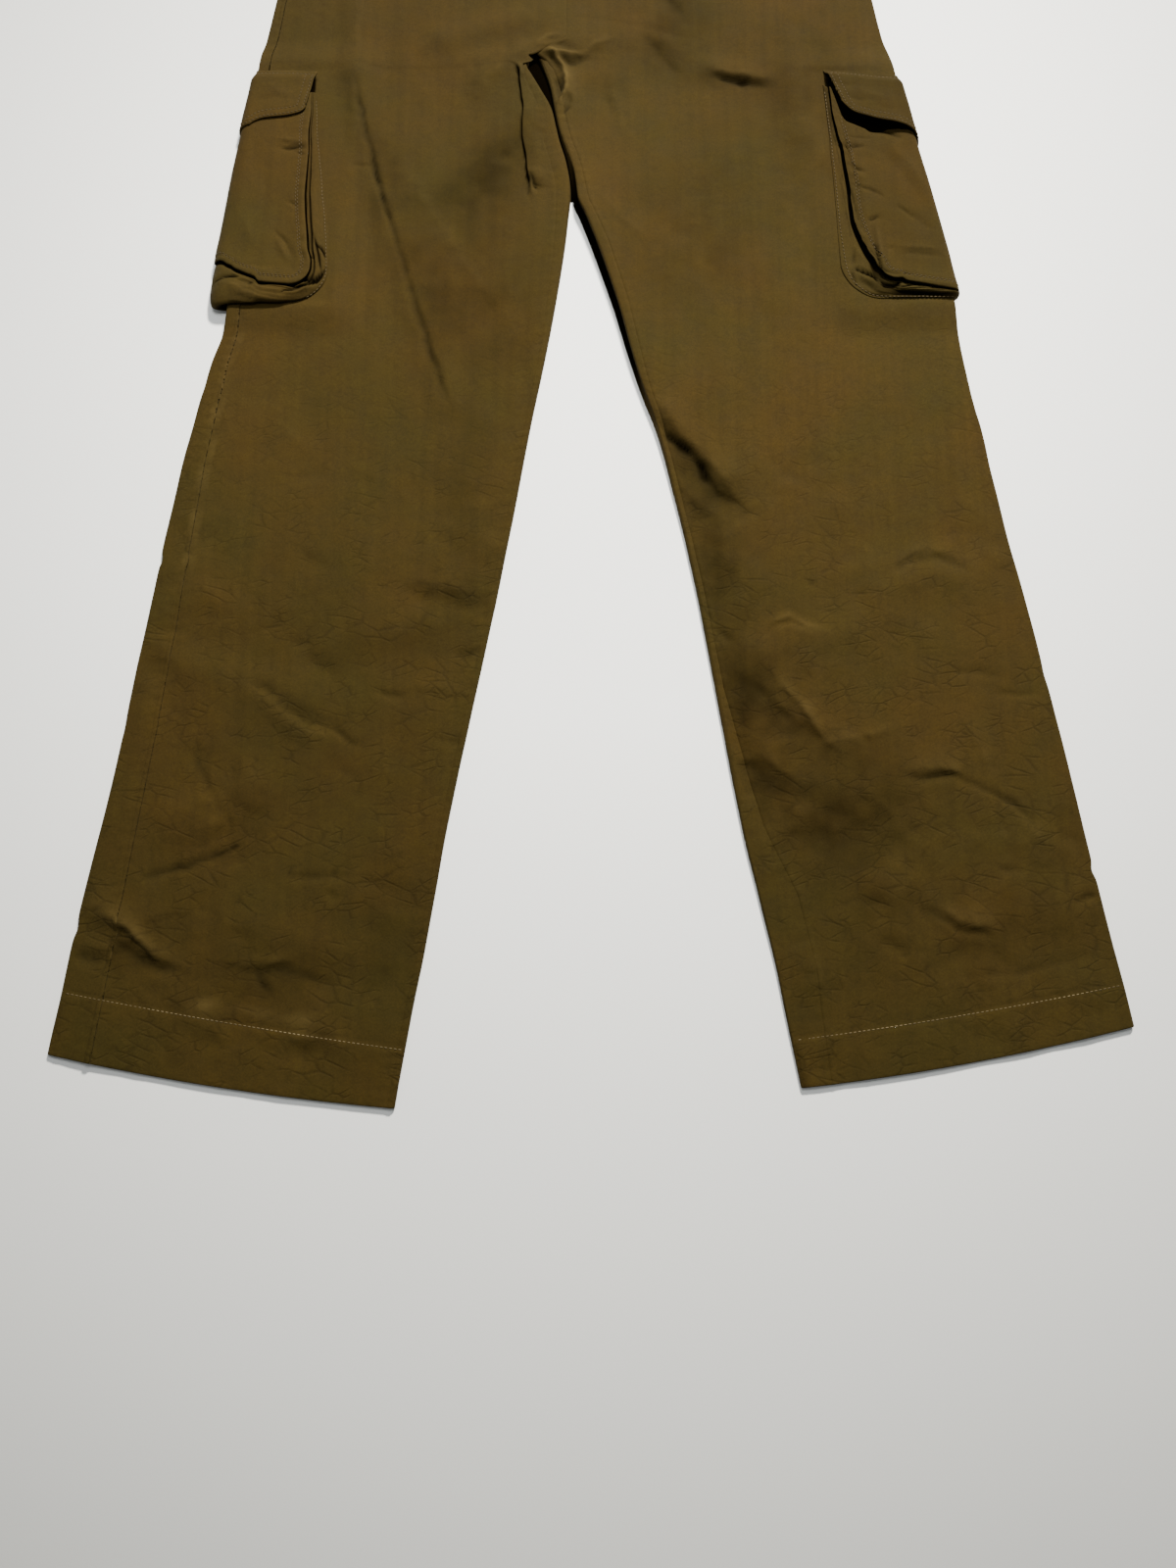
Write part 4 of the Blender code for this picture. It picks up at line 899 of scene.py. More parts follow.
def twill_finish(name, brown, green):
    """The twill's material: dye between brown and green, worn crests, painted shade in its troughs
    and hollows, its weave.
    """
    made, tree, shader, where = surface_material(name)
    cloth = add_node(tree, "UVMap", uv_map="cloth").outputs[0]
    dyed = add_node(tree, "Group", {"Place": where}, node_tree=dye).outputs
    woven = add_node(tree, "Group", {"Place": cloth, "Rib": TWILL_RIB}, node_tree=weave).outputs
    washed = add_node(tree, "Group", {"Place": where}, node_tree=wrinkle)
    along = add_node(tree, "SeparateXYZ", {0: where}).outputs[1]
    feed(tree, washed, {"Crushed": ramp(tree, along, 0.10, -0.20, 0.12)})
    washed = washed.outputs
    crest, painted_shade, band = (add_node(tree, "Attribute", attribute_name=mark).outputs["Fac"]
                           for mark in ("crest", "painted_shade", "band"))

    colour = tinted(tree, dyed["Patch"], (*green, 1), (*brown, 1))
    # painted shade: the cloth darkens down the leg, standing in for the sheen that lightens the
    # hips
    shade_down_the_leg = ramp(tree, along, 0.35, -0.5, 0.0, 0.25)
    colour = tinted(tree, shade_down_the_leg, colour, (0.012, 0.0085, 0.0010, 1))
    uneven = scaled(tree, dyed["Blotch"], 0.15, times(tree, dyed["Streak"], 0.13))
    uneven = scaled(tree, woven["Slub"], 0.22, uneven)
    grain = noise(tree, where, 780.0, 2.0, 0.7)
    uneven = scaled(tree, maths(tree, "SUBTRACT", grain, 0.5), 0.75, uneven)
    value = times(tree, maths(tree, "ADD", uneven, 0.76), scaled(tree, band, 0.05, 1.0))
    # painted shade: darker towards the waist, where the lamp lights the cloth more
    value = times(tree, value, ramp(tree, along, 0.02, 0.33, 1.0, 0.74))
    # painted shade along the hair creases
    value = times(tree, value, scaled(tree, washed["Crease"], -0.20, 1.0))
    grey = add_node(tree, "CombineColor", {0: value, 1: value, 2: value}).outputs[0]
    colour = tinted(tree, 1.0, colour, grey, "MULTIPLY")
    worn = ramp(tree, crest, 0.3, 4.0, 0.0, 0.36)
    worn = times(tree, worn, maths(tree, "ADD", dyed["Blotch"], 0.35))
    colour = tinted(tree, worn, colour, (0.085, 0.058, 0.018, 1))
    # painted shade: the colour darkens the deeper a crease, seam or stitch groove sinks
    trough_shade = ramp(tree, crest, -0.35, -2.4, 0.0, 0.6)
    colour = tinted(tree, trough_shade, colour, (0.008, 0.0056, 0.0008, 1))
    # painted shade: where the shade mark is set, the colour goes to near black
    colour = tinted(tree, painted_shade, colour, (0.0015, 0.001, 0.0004, 1))
    rough = scaled(tree, dyed["Blotch"], 0.10, 0.80)
    # where shade is painted, the cloth loses its gloss and sheen as well
    open_cloth = maths(tree, "SUBTRACT", 1.0, painted_shade)
    feed(tree, shader, {
        "Base Color": colour, "Roughness": rough,
        "Specular IOR Level": times(tree, open_cloth, 0.05),
        "Sheen Weight": times(tree, open_cloth, 0.008),
        "Sheen Roughness": 0.6, "Sheen Tint": (0.8, 0.72, 0.55, 1)})
    fold = bump(tree, 0.55, 0.0009, washed["Height"])
    feed(tree, shader, {"Normal": bump(tree, 0.5, 0.00016, woven["Height"], Normal=fold)})
    return made


twill_face = twill_finish("twill_face", (0.0312, 0.0186, 0.0036), (0.0262, 0.0184, 0.0036))


# painted shade where the cloth lies in soft shade, as shares of dark at the middle
SHADES = table("x y across down turn share",
    (-80, 178, 26, 52, -35, 0.30), (-170, 195, 12, 60, 22, 0.18), (-118, 20, 16, 60, 20, 0.14),
    (-96, -100, 30, 60, 10, 0.10), (-100, -190, 40, 26, 0, 0.16), (-190, -215, 70, 24, -12, 0.10),
    (-222, -300, 60, 34, 20, 0.10), (-150, -430, 60, 34, 0, 0.10), (-330, -440, 34, 20, -30, 0.20),
    (-230, -462, 46, 12, 0, 0.14), (84, -100, 26, 52, 30, 0.24), (96, -170, 16, 60, 12, 0.26),
    (112, -262, 30, 44, 40, 0.34), (160, -350, 52, 24, 0, 0.27), (128, -320, 22, 34, 30, 0.26),
    (205, -322, 34, 26, -30, 0.20), (196, -415, 34, 26, 0, 0.20), (300, -420, 60, 20, 0, 0.12),
    (100, 262, 44, 14, -14, 0.16), (60, 300, 40, 26, -30, 0.14), (66, 336, 34, 18, -30, 0.26),
    (185, 235, 60, 110, 10, 0.17), (-134, 96, 19, 64, 27, 0.22), (-74, 60, 36, 80, 12, 0.20),
    (80, 120, 46, 70, 0, 0.18),
)


def shaded(x, y):
    """The painted shades' share at (x, y): each is a turned bell, broken up by soft hills."""
    total = np.zeros(np.broadcast(x, y).shape)
    for shade in SHADES:
        turn = np.radians(shade.turn)
        u = (x - shade.x) * np.cos(turn) + (y - shade.y) * np.sin(turn)
        v = (y - shade.y) * np.cos(turn) - (x - shade.x) * np.sin(turn)
        total += shade.share * np.exp(-((u / shade.across) ** 2) - (v / shade.down) ** 2)
    return np.clip(total * (1 + 0.5 * drift(x, y, 23, 15) + 0.35 * drift(x, y, 9, 16)), 0, 0.45)


def leg_marks(leg, y, t, crest):
    """Crest, hem band and painted shade for the points of a top layer."""
    above = hem_band(leg, y, t)
    line = bell(above - 0.6, 1.1)
    if leg is LEFT:
        scuff = bell(above - 9, 5) * plateau(t, 100, 165, 18)
        scuff = scuff * np.clip(0.7 + 0.5 * drift(t, 0.5 * y, 8, 21), 0.2, 1)
        past = t - through(y, leg.sections, "outseam")
        rubbed = plateau(past, 0.5, 8, 3) * plateau(y, -170, 30, 24)
        scuff = scuff + 0.55 * rubbed * np.clip(0.7 + drift(t, y, 9, 22), 0, 1.4)
        # painted shade in the dark gap beside the flap's inner edge
        pocket_gap_shade = plateau(y, 244, 257, 2.5) * plateau(t, 40, 48, 1.5)
    else:
        scuff = 0.0
        # painted shade in the pocket's open mouth under the flap
        pocket_gap_shade = plateau(y, 204, 256, 5) * plateau(t, 6, 57, 3)
    # painted shade in the deepest troughs, and then the soft painted shades
    deep_crease_shade = 0.8 * ease((-crest - 1.2) / 2.0)
    plan = in_plan(leg, y, t)
    soft = shaded(plan[..., 0], plan[..., 1])
    return {"crest": crest + 0.6 * line + 2.6 * scuff, "band": ease(-above / 0.8 + 0.5),
            "painted_shade": np.maximum(np.maximum(pocket_gap_shade, deep_crease_shade), soft)}


def panel(side, leg, grid, marks, flip, beside=(0, 0)):
    """A leg's panel with its turn-up. Its marks go on over the hidden rows and columns."""
    hidden = (TURN_UP_ROWS, 0), beside
    marks = {label: np.pad(values, hidden, "edge") for label, values in marks.items()}
    piece = cloth_mesh(f"{side}_panel_{leg.name}", with_turn_up(grid, flip), 0, flip, **marks)
    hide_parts(f"{side}_{leg.name}")
    return piece


# the tuck on the left inner thigh: lip is its place in from the inner edge, reach how far its strip
# laps over the panel, and fold how far the cloth turns there
TUCKS = table("y lip reach fold",
    (-534, 60, 0.3, 0), (57, 48, 0.3, 0), (130, 38, 0.3, 0), (158, 33.5, 0.3, 0),
    (164, 33, 0.3, 50), (170, 32.5, 0.5, 130), (176, 32, 1.2, 180), (190, 30, 3.2, 180),
    (205, 28.6, 4.4, 180), (220, 25.5, 4.4, 180), (240, 20, 3.0, 180), (252, 15, 1.6, 180),
    (258, 12.5, 0.9, 180), (262, 10.8, 0.5, 140), (266, 9.6, 0.3, 90), (271, 9, 0.3, 40),
    (276, 12, 0.3, 0), (291, 34, 0.3, 0), (345, 52, 0.3, 0), (PANEL_TOP, 60, 0.3, 0),
)
TUCK_UNDER_RADIUS, TUCK_LIP_RADIUS = 0.35, 0.95
TUCK_TURN, TUCK_RUN, TUCK_ROUND = 5, 4, 7      # steps of the under fold, the way back and the lip
TUCK_FLAT_STEP = 1.5


def tuck_steps(leg, y):
    """The tuck's section: a tight turn under the strip, the way back, the lip's turn, the strip.

    Each step has a length and a heading; places and rises are the running sums of length times
    the heading's cosine and sine, eased in as the fold begins.
    """
    lip, reach, fold = (straight(y, TUCKS, column) for column in ("lip", "reach", "fold"))
    turn = np.radians(fold)
    shares = (np.arange(TUCK_TURN) + 0.5) / TUCK_TURN, np.ones(TUCK_RUN)
    round_shares = 1 - (np.arange(TUCK_ROUND) + 0.5) / TUCK_ROUND
    heading = turn * np.concatenate([*shares, round_shares, np.zeros(TUCK_RUN)])
    arc = TUCK_UNDER_RADIUS * math.pi / TUCK_TURN
    lip_arc = TUCK_LIP_RADIUS * math.pi / TUCK_ROUND
    steps = np.concatenate([
        np.full((len(y), TUCK_TURN), arc), reach / TUCK_RUN * np.ones(TUCK_RUN),
        np.full((len(y), TUCK_ROUND), lip_arc), (reach + 2.4) / TUCK_RUN * np.ones(TUCK_RUN),
    ], axis=1)
    zero = np.zeros((len(y), 1))
    shift = np.concatenate([zero, np.cumsum(steps * np.cos(heading), axis=1)], axis=1)
    rise = np.concatenate([zero, np.cumsum(steps * np.sin(heading), axis=1)], axis=1)
    middle = TUCK_TURN + TUCK_RUN
    flat = TUCK_FLAT_STEP * (np.arange(shift.shape[1]) - middle)
    folded = ease(fold / 40)
    t = edges(leg, y)[2] - lip + flat + (shift - shift[:, middle, None] - flat) * folded
    return t, rise * folded


def tucked_under(grid, first, last):
    """A panel with its allowance past the seam at its first or last column, half a mm lower."""
    parts = [grid]
    for there, at, beside in ((first, 0, 1), (last, -1, -2)):
        if there:
            out = unit(grid[:, at] - grid[:, beside])
            grid[:, at, 2] -= 0.1
            hidden = (grid[:, at] + 1.0 * out - np.array([0, 0, 0.55]))[:, None]
            parts = [hidden, *parts] if at == 0 else [*parts, hidden]
    return np.concatenate(parts, axis=1)


def front_left():
    """The top layer from seam to seam, its columns running through the tuck's fold."""
    y = panel_rows(LEFT)
    width = edges(LEFT, y)[2]
    folded_t, rise = tuck_steps(LEFT, y)
    seam = through(y, LEFT.sections, "outseam") - SEAM_LAP
    body = spread(seam, folded_t[:, :1], 132, tight_start=True)[:, :-1]
    last = width - straight(y, LEFT.sections, "inseam") + SEAM_LAP
    shares = np.linspace(0, 1, 7)[1:]
    strip = folded_t[:, -1:] + (last - folded_t[:, -1:]) * shares
    t = np.concatenate([body, folded_t, strip], axis=1)
    up = np.concatenate([0 * body, rise, rise[:, -1:] * (1 - ease(shares))], axis=1)
    grid, crest = dressed(LEFT, y, t, TOP)
    grid[..., 2] += up
    marks = leg_marks(LEFT, y, t, crest)
    step = np.arange(t.shape[1]) - (body.shape[1] + TUCK_TURN)
    lip = width - straight(y, TUCKS, "lip")
    shadow = plateau(t, lip - 1.6, lip + 30, 1.4) * (step <= TUCK_RUN + 1)
    shadow = shadow * ease(straight(y, TUCKS, "fold") / 120)
    marks["painted_shade"] = np.maximum(marks["painted_shade"], 0.97 * shadow)
    grid = tucked_under(dip_waist(grid), True, True)
    piece = panel("front", LEFT, grid, marks, False, (1, 1))


def front_right():
    """A strip of the under layer, the outer fold, and the top layer as far as the inseam."""
    y = panel_rows(RIGHT)
    seam = -through(y, RIGHT.sections, "outseam") + SEAM_LAP
    under = dressed(RIGHT, y, spread(seam, FOLD, 4)[:, :-1], UNDER)[0]
    fold = turned(RIGHT, y, False, np.linspace(-90, 90, 11)[None, :-1])
    last = edges(RIGHT, y)[2] - straight(y, RIGHT.sections, "inseam") + SEAM_LAP
    t = spread(FOLD + 0 * y, last, 150, tight_end=True)
    top, crest = dressed(RIGHT, y, t, TOP)
    grid = tucked_under(dip_waist(np.concatenate([under, fold, top], axis=1)), False, True)
    marks = leg_marks(RIGHT, y, t, crest)
    piece = panel("front", RIGHT, grid, marks, True, (under.shape[1] + fold.shape[1], 1))


FOLD_END = 1.25
UNROLLED, UNROLL_LENGTH = 10.0, 7.0


def back_fold(leg, y, place):
    """The back along its inner fold, in half turns past its start; it unrolls above the crotch."""
    width = edges(leg, y)[2]
    crotch_share = (y - CROTCH_Y) / UNROLL_LENGTH
    place = place - FOLD_END * np.clip(crotch_share, 0, 1)
    flat_end = width - FOLD + FOLD * ease(crotch_share * 2 - 1)
    inseam = straight(y, leg.sections, "inseam")
    round_in = through(y, leg.sections, "round_in")
    strip = np.maximum(inseam - round_in, 0.5)
    over = round_in + strip * (place - 1) / (FOLD_END - 1)
    below = dressed(leg, y, flat_end + np.minimum(place, 0) * UNROLLED, UNDER)[0]
    around = turned(leg, y, True, 180 * np.clip(place, 0, 1) - 90)
    above, crest = dressed(leg, y, width - over, TOP)
    turn = place[..., None]
    points = np.where(turn <= 0, below, np.where(turn < 1, around, above))
    return points, np.where(place >= 1, crest, 0), width - over


def back(leg):
    """A back panel, from the outseam under the leg and round its inner fold to the inseam."""
    y = panel_rows(leg)
    seam = through(y, leg.sections, "outseam")
    parts, crests, places, first = [], [], [], -seam
    if leg is LEFT:
        t = spread(seam, FOLD + 0 * y, 7, tight_start=True)[:, :-1]
        strip, crest = dressed(leg, y, t, TOP)
        fold = turned(leg, y, False, np.linspace(90, -90, 11)[None, :-1])
        blank = np.zeros(fold.shape[:2])
        parts, crests, places, first = [strip, fold], [crest, blank], [t, blank], FOLD + 0 * y
    t = spread(first, edges(leg, y)[2] - FOLD - FOLD_END * UNROLLED, 44)
    under, crest = dressed(leg, y, t, UNDER)
    turns = np.concatenate([
        np.linspace(0, 0.5, 6), np.linspace(0.5, 1, 16)[1:], np.linspace(1, FOLD_END, 5)[1:]])
    inner, inner_crest, inner_t = back_fold(leg, y, turns[None] + 0 * y)
    grid = np.concatenate([*parts, under, inner], axis=1)
    crest = np.concatenate([*crests, crest, inner_crest], axis=1)
    marks = leg_marks(leg, y, np.concatenate([*places, t, inner_t], axis=1), crest)
    turns = np.pad(turns, (grid.shape[1] - len(turns), 0))
    # painted shade on the inner fold's shelf, under the overhanging wall
    marks["painted_shade"] = 0.99 * shelf_share(leg, y) * plateau(turns, 0.50, 0.84, 0.06)
    return panel("back", leg, grid, marks, leg is LEFT)


front_left()
front_right()
back(LEFT)
back(RIGHT)

# ==== The crotch
# Where the four panels meet, the backs go on behind the fronts from one leg to the other. Between
# the folded edges a sliver of that cloth shows, painted near black as shade, down to where the legs
# part.

SADDLE_LOW, SADDLE_HIGH, SADDLE_LAP = 149.0, 292.0, 1.1


def crotch_saddle():
    """Rows from one fold's underside to the other's, low at the legs and hardly off the floor."""
    y = np.linspace(SADDLE_LOW, SADDLE_HIGH, 80)[:, None]
    share = np.linspace(0, 1, 14)
    ends = []
    for leg in (LEFT, RIGHT):
        width = edges(leg, y)[2]
        ends.append(in_plan(leg, y, width - SADDLE_LAP))
    plan = ends[0] + (ends[1] - ends[0]) * share[:, None]
    height = 0.12 + 0.5 * np.sin(math.pi * share) * plateau(y, SADDLE_LOW + 12, SADDLE_HIGH, 10)
    height = height + 0.12 * drift(plan[..., 0], plan[..., 1], 7, 91)
    grid = np.concatenate([plan, np.maximum(height, 0.08)[..., None]], axis=-1)
    # painted shade: the whole sliver is coloured near black, for the shade deep in the slit
    piece = cloth_mesh("crotch_saddle", grid, painted_shade=1.0)


crotch_saddle()

# ==== The cargo pockets
# Bellows pockets of the same twill on each outseam: a face, a pleated strip between its edge and
# the leg, and a doubled flap topstitched twice. Each goes round the leg's folded edge, half of it
# under.

POCKET_WALL = 0.6
POCKET_CLOTH, PIECE_GAP = 1.0, 0.4
QUARTER = FOLD * math.pi / 2

# seam and face are the places of the stitch line and of the face's edge, in from the leg's outer
# edge, and out is how far the face stands past that edge
POCKET_ROW = "y seam face out"
# a line across the pocket: its y by the way along the cloth from the leg's outermost line
LINE = "along y"
# strip_top, mouth and low are where the bellows and the face end, edge_lift and crown how far the
# face stands off the leg at its rim and in its middle, the flap_ fields the flap's borders, and
# gape how far its lower edge stands off
Pocket = namedtuple("Pocket", "leg rows strip_top mouth low bottom edge_lift crown "
                    "flap_top flap_low flap_in_top flap_in_low flap_corner gape")
LEFT_POCKET = Pocket(
    leg=LEFT,
    rows=table(POCKET_ROW,
        (57, 76.5, 62.5, 13.0), (85, 75.5, 62.5, 13.6), (98, 74.5, 59.0, 13.4),
        (112, 73.0, 57.0, 12.3), (130, 70.5, 54.0, 11.2), (150, 66.2, 51.8, 10.2),
        (165, 63.7, 51.4, 9.6), (183, 60.0, 51.0, 8.2), (205, 55.8, 49.0, 6.4),
        (221, 53.6, 48.6, 5.2), (240, 50.8, 47.0, 3.4), (266, 48.5, 46.0, 1.6),
    ),
    strip_top=table(LINE, (0, 250), (40, 250), (47, 244), (52, 243)),
    mouth=table(LINE, (0, 250), (40, 250), (46, 243), (50, 242)),
    low=table(LINE,
        (0, 88.5), (1.5, 87), (2.4, 81.5), (13, 75.5), (21.5, 72), (25, 68), (36, 67), (50, 66),
        (70, 66),
    ),
    bottom=54, edge_lift=5.4, crown=3.4,
    flap_top=table(LINE, (0, 264), (50, 264)),
    flap_low=table(LINE,
        (0, 207), (2.4, 209.5), (6, 212.5), (12, 215), (22, 216.6), (32, 218), (42, 220.5),
        (48, 222.5),
    ),
    flap_in_top=48.5, flap_in_low=44.2, flap_corner=6.0, gape=0.9,
)
RIGHT_POCKET = Pocket(
    leg=RIGHT,
    rows=table(POCKET_ROW,
        (57, 83.0, 54.5, 3.6), (84, 82.4, 55.0, 4.0), (95, 81.2, 59.5, 4.4), (104, 80.0, 62.4, 4.4),
        (113, 78.8, 64.4, 4.2), (122, 77.6, 65.4, 4.0), (130, 76.4, 64.8, 3.8),
        (140, 75.2, 63.8, 3.6), (152, 73.6, 62.3, 3.3), (173, 71.0, 61.4, 2.4),
        (190, 69.0, 60.3, 1.6), (200, 67.4, 61.6, 1.4), (220, 65.2, 61.4, 1.4),
        (236, 63.4, 59.8, 1.2), (266, 60.4, 57.0, 1.0),
    ),
    strip_top=table(LINE, (0, 204), (50, 240), (59, 250), (66, 254)),
    mouth=table(LINE,
        (0, 202), (6, 206), (13, 206.6), (21, 206.2), (28.7, 204.2), (34.7, 204.6), (40, 207.4),
        (47.5, 210.8), (53, 213), (55.6, 217.5), (57.4, 231), (59, 245), (66, 248),
    ),
    low=table(LINE,
        (0, 60.4), (2.4, 61.4), (12.2, 63.2), (22, 65.4), (30.8, 67.4), (37.4, 69), (40.7, 71.4),
        (46, 70.6), (57, 69.6), (70, 69.6),
    ),
    bottom=57, edge_lift=5.8, crown=3.4,
    flap_top=table(LINE, (0, 259), (14, 260), (40, 263.5), (60, 265.5)),
    flap_low=table(LINE,
        (0, 196.5), (1.5, 201), (2.4, 204), (8, 207), (18, 209), (27.6, 211), (36.6, 214),
        (44, 216.6), (52, 220),
    ),
    flap_in_top=59.0, flap_in_low=51.5, flap_corner=11.0, gape=5.0,
)
SEAM_CORNER, FACE_CORNER = 27.0, 15.0
UNDER_SEAM, UNDER_FACE, UNDER_FLAP = 74.0, 60.0, 57.0
MOUTH_LIFT, MOUTH_RAMP, EDGE_RIM = 2.0, 45.0, 13.0
FACE_UNDER_LIFT = POCKET_CLOTH + 2 * PIECE_GAP
FLAP_ON_FACE = POCKET_CLOTH + PIECE_GAP
FLAP_HINGE = 10.0
CORNER_STEPS, CROSS_STEPS, FACE_ROWS, FLAP_ROWS = 14, 40, 132, 46

FACE_CREASES = creases(
    # left: pulls at the edge under the flap, a bent one low down, soft dents
    (-1.6, 1.8, 2.2, -249, 188.7, -240, 188, -234, 189, -227, 187.5),
    (-1.2, 1.2, 1.6, -236, 185, -232, 183.4, -227.4, 180.5),
    (-0.7, 1.6, 1.6, -248, 193.5, -240, 193),
    (0.9, 3, 2.4, -250, 197, -238, 195, -229, 192),
    (-1.0, 1.2, 1.6, -240, 140, -235, 138, -231, 134),
    (-1.1, 1.2, 2.0, -248.5, 113, -242, 107.5, -239, 104, -236.4, 98, -233, 92, -230.8, 88.5),
    (0.9, 3, 2, -246, 104, -241, 96, -237, 88),
    (-0.9, 1.2, 1.4, -229, 102.7, -225.6, 106.3),
    (-0.9, 1.4, 1.8, -226.6, 96, -225, 91, -222.4, 85),
    (0.8, 6, 6, -276, 130, -268, 112, -262, 96),
    (-0.8, 7, 7, -262, 180, -258, 150, -262, 125),
    (-0.5, 2, 2, -270, 84, -258, 82, -246, 82),
    # right: pulls along the inner edge, a wide slanting dent, the fold that stands up from the knot
    (-1.4, 1.6, 2.2, 201.6, 188, 206.2, 189.3, 210.3, 190.5, 218.5, 191),
    (-0.9, 6, 8, 226, 189, 235, 183, 241, 176, 247, 165, 253, 155, 258, 147, 268, 135),
    (1.2, 7, 6, 238, 193, 250, 178, 260, 163, 268, 150),
    (-1.4, 1.4, 2.0, 203.5, 171.7, 207.6, 172.3, 210.5, 169.4, 217.5, 166),
    (0.7, 2, 2, 205, 167, 211, 163, 216, 160),
    (-1.1, 1.3, 2.0, 204.6, 153.6, 213, 152.8, 220.6, 150.5, 226, 148, 231.5, 144),
    (-1.0, 1.4, 1.8, 241, 136, 246.4, 132.3, 250.7, 128.5, 254, 125.4),
    (-0.9, 4, 5, 252, 129, 260, 121, 267, 114),
    (-1.5, 1.6, 2.0, 217, 121.5, 219.5, 123.4, 224, 125.3, 227, 126),
    (-2.4, 1.0, 1.3, 221, 119, 221.8, 110, 222.6, 100, 223.8, 90, 224.8, 81, 225.2, 70),
    (1.6, 3, 1.4, 223.6, 118, 224.8, 104, 226, 92, 227.2, 78),
    (-1.3, 0.9, 1.1, 203.5, 154, 205.8, 143, 207.7, 134, 209.5, 124, 212, 115, 214, 110.4),
    (-0.6, 2, 2.6, 243, 93.7, 254, 93.7, 268, 91.8, 277, 90.6),
    (0.7, 3, 2, 240, 100, 256, 99, 274, 97),
    (-0.9, 1.0, 1.2, 226.7, 77, 235.5, 74.6, 250, 74.4),
    (-1.5, 1.6, 3.0, 221, 205, 232, 205.4, 238, 204, 244, 200.5, 249, 198),
    (-0.6, 0.9, 0.9, 203, 199, 214, 198.4, 225, 198),
    (-0.6, 2, 2, 231, 98, 237, 98.6),
)
FLAP_CREASES = creases(
    (-0.6, 2, 3, 196, 248, 206, 246, 215, 247),
    (-0.8, 2.5, 3, 206, 236, 212, 232, 220, 230),
    (0.6, 4, 4, 214, 242, 228, 236, 240, 234),
    (-0.5, 3, 3, 228, 226, 238, 222, 246, 222),
    (0.5, 4, 4, -262, 248, -250, 240, -240, 238),
    (-0.5, 2.5, 3, -270, 232, -256, 236, -244, 234),
)
STRIP_CREASES = creases(
    # left: the hook at the face's corner, the crushed pleats round it and the roll's fold line
    (-1.7, 0.9, 1.2, -218, 112, -216, 104, -213.7, 94.6, -212.4, 87, -210.8, 79),
    (-1.8, 0.8, 1.0, -216, 103.5, -212.5, 101, -210, 97, -208.7, 92),
    (-1.8, 0.8, 1.0, -223.2, 98, -220.9, 93.2, -219.1, 90.8, -215.8, 90.4),
    (-2.6, 1.1, 1.3, -233.6, 67, -226.3, 69.6, -220, 71.4, -214.8, 71.4, -211, 76.6, -208, 83),
    (-2.2, 1.0, 1.2, -236.8, 65.4, -229.5, 64.3, -219, 67.8, -214.9, 69.6, -211, 75.5),
    (-1.6, 1.0, 1.2, -241.5, 58, -237.6, 61.4, -228.8, 61.8),
    (1.1, 1.4, 1.6, -226, 62, -217, 65, -211, 70),
    (1.0, 1.2, 1.4, -220, 108, -217.6, 100, -216, 90, -214.6, 82),
    (-1.9, 1.0, 1.4, -296, 60, -295.4, 65, -293.1, 68.3, -289.2, 71.2, -282.9, 72.4, -272, 72.6),
    (0.9, 3, 3, -286, 66, -276, 65, -262, 62),
    (-0.6, 1.6, 1.6, -262, 70, -266, 65, -265, 60),
    (-0.7, 1.6, 2, -274, 69, -260, 66.5, -248, 65),
    # right: the box fold, the knot under the face's corner and the shadowed lower pleat
    (-2.2, 1.0, 1.3, 205.4, 83, 211.2, 80, 216.7, 77, 221, 74.4, 223.5, 69.5),
    (-1.5, 0.8, 0.9, 203.5, 82, 205.4, 73.4, 206.3, 66.2, 210.5, 62),
    (-2.8, 1.6, 1.6, 225.3, 71, 228.5, 67.4, 235.2, 66.2, 238.6, 67.2, 240.3, 71),
    (-2.2, 1.1, 1.3, 210.6, 63.2, 219, 59.6, 225.8, 57.8, 234.5, 57),
    (-1.4, 0.9, 1.0, 237.3, 64, 244, 65.2, 252.9, 67),
    (-0.9, 1.6, 2, 207, 101, 205.8, 91, 204.6, 84),
    (1.2, 1.6, 1.6, 207.6, 77, 214, 73.6, 219, 69.6),
    (1.2, 1.4, 1.4, 222, 64, 228, 61.4, 234, 60.6),
    (-0.7, 1.6, 1.6, 214, 70, 219, 66, 221, 62),
)


def level(line):
    """The y of a line across the pocket, as a function of the way along the cloth."""
    return lambda along: through(along, line, "y")


def on_edge(t, sign=1):
    """The way round the leg's folded edge to the place t in from it, over or under it."""
    return sign * (QUARTER + t - FOLD)


def round_edge(leg, y, along, top, out, under):
    """Points of a piece that wraps the leg's outer edge, top, out and under away from it.

    The way along it becomes an angle through the fold's quarter turns and a distance beyond them.
    """
    angle = np.clip(along / QUARTER, -1, 1) * math.pi / 2
    beyond = np.maximum(np.abs(along) - QUARTER, 0)
    t = FOLD - (FOLD + out) * np.cos(angle) + beyond
    inside = np.maximum(np.maximum(t, 0.0), FOLD)
    apex = skin_height(leg, y, np.zeros_like(t), UNDER) + FOLD
    above = skin_height(leg, y, inside, TOP) + top - apex
    below = apex - skin_height(leg, y, inside, UNDER) + under
    height = apex + np.where(angle > 0, above, below) * np.sin(angle)
    return np.concatenate([in_plan(leg, y, t), height[..., None]], axis=-1)


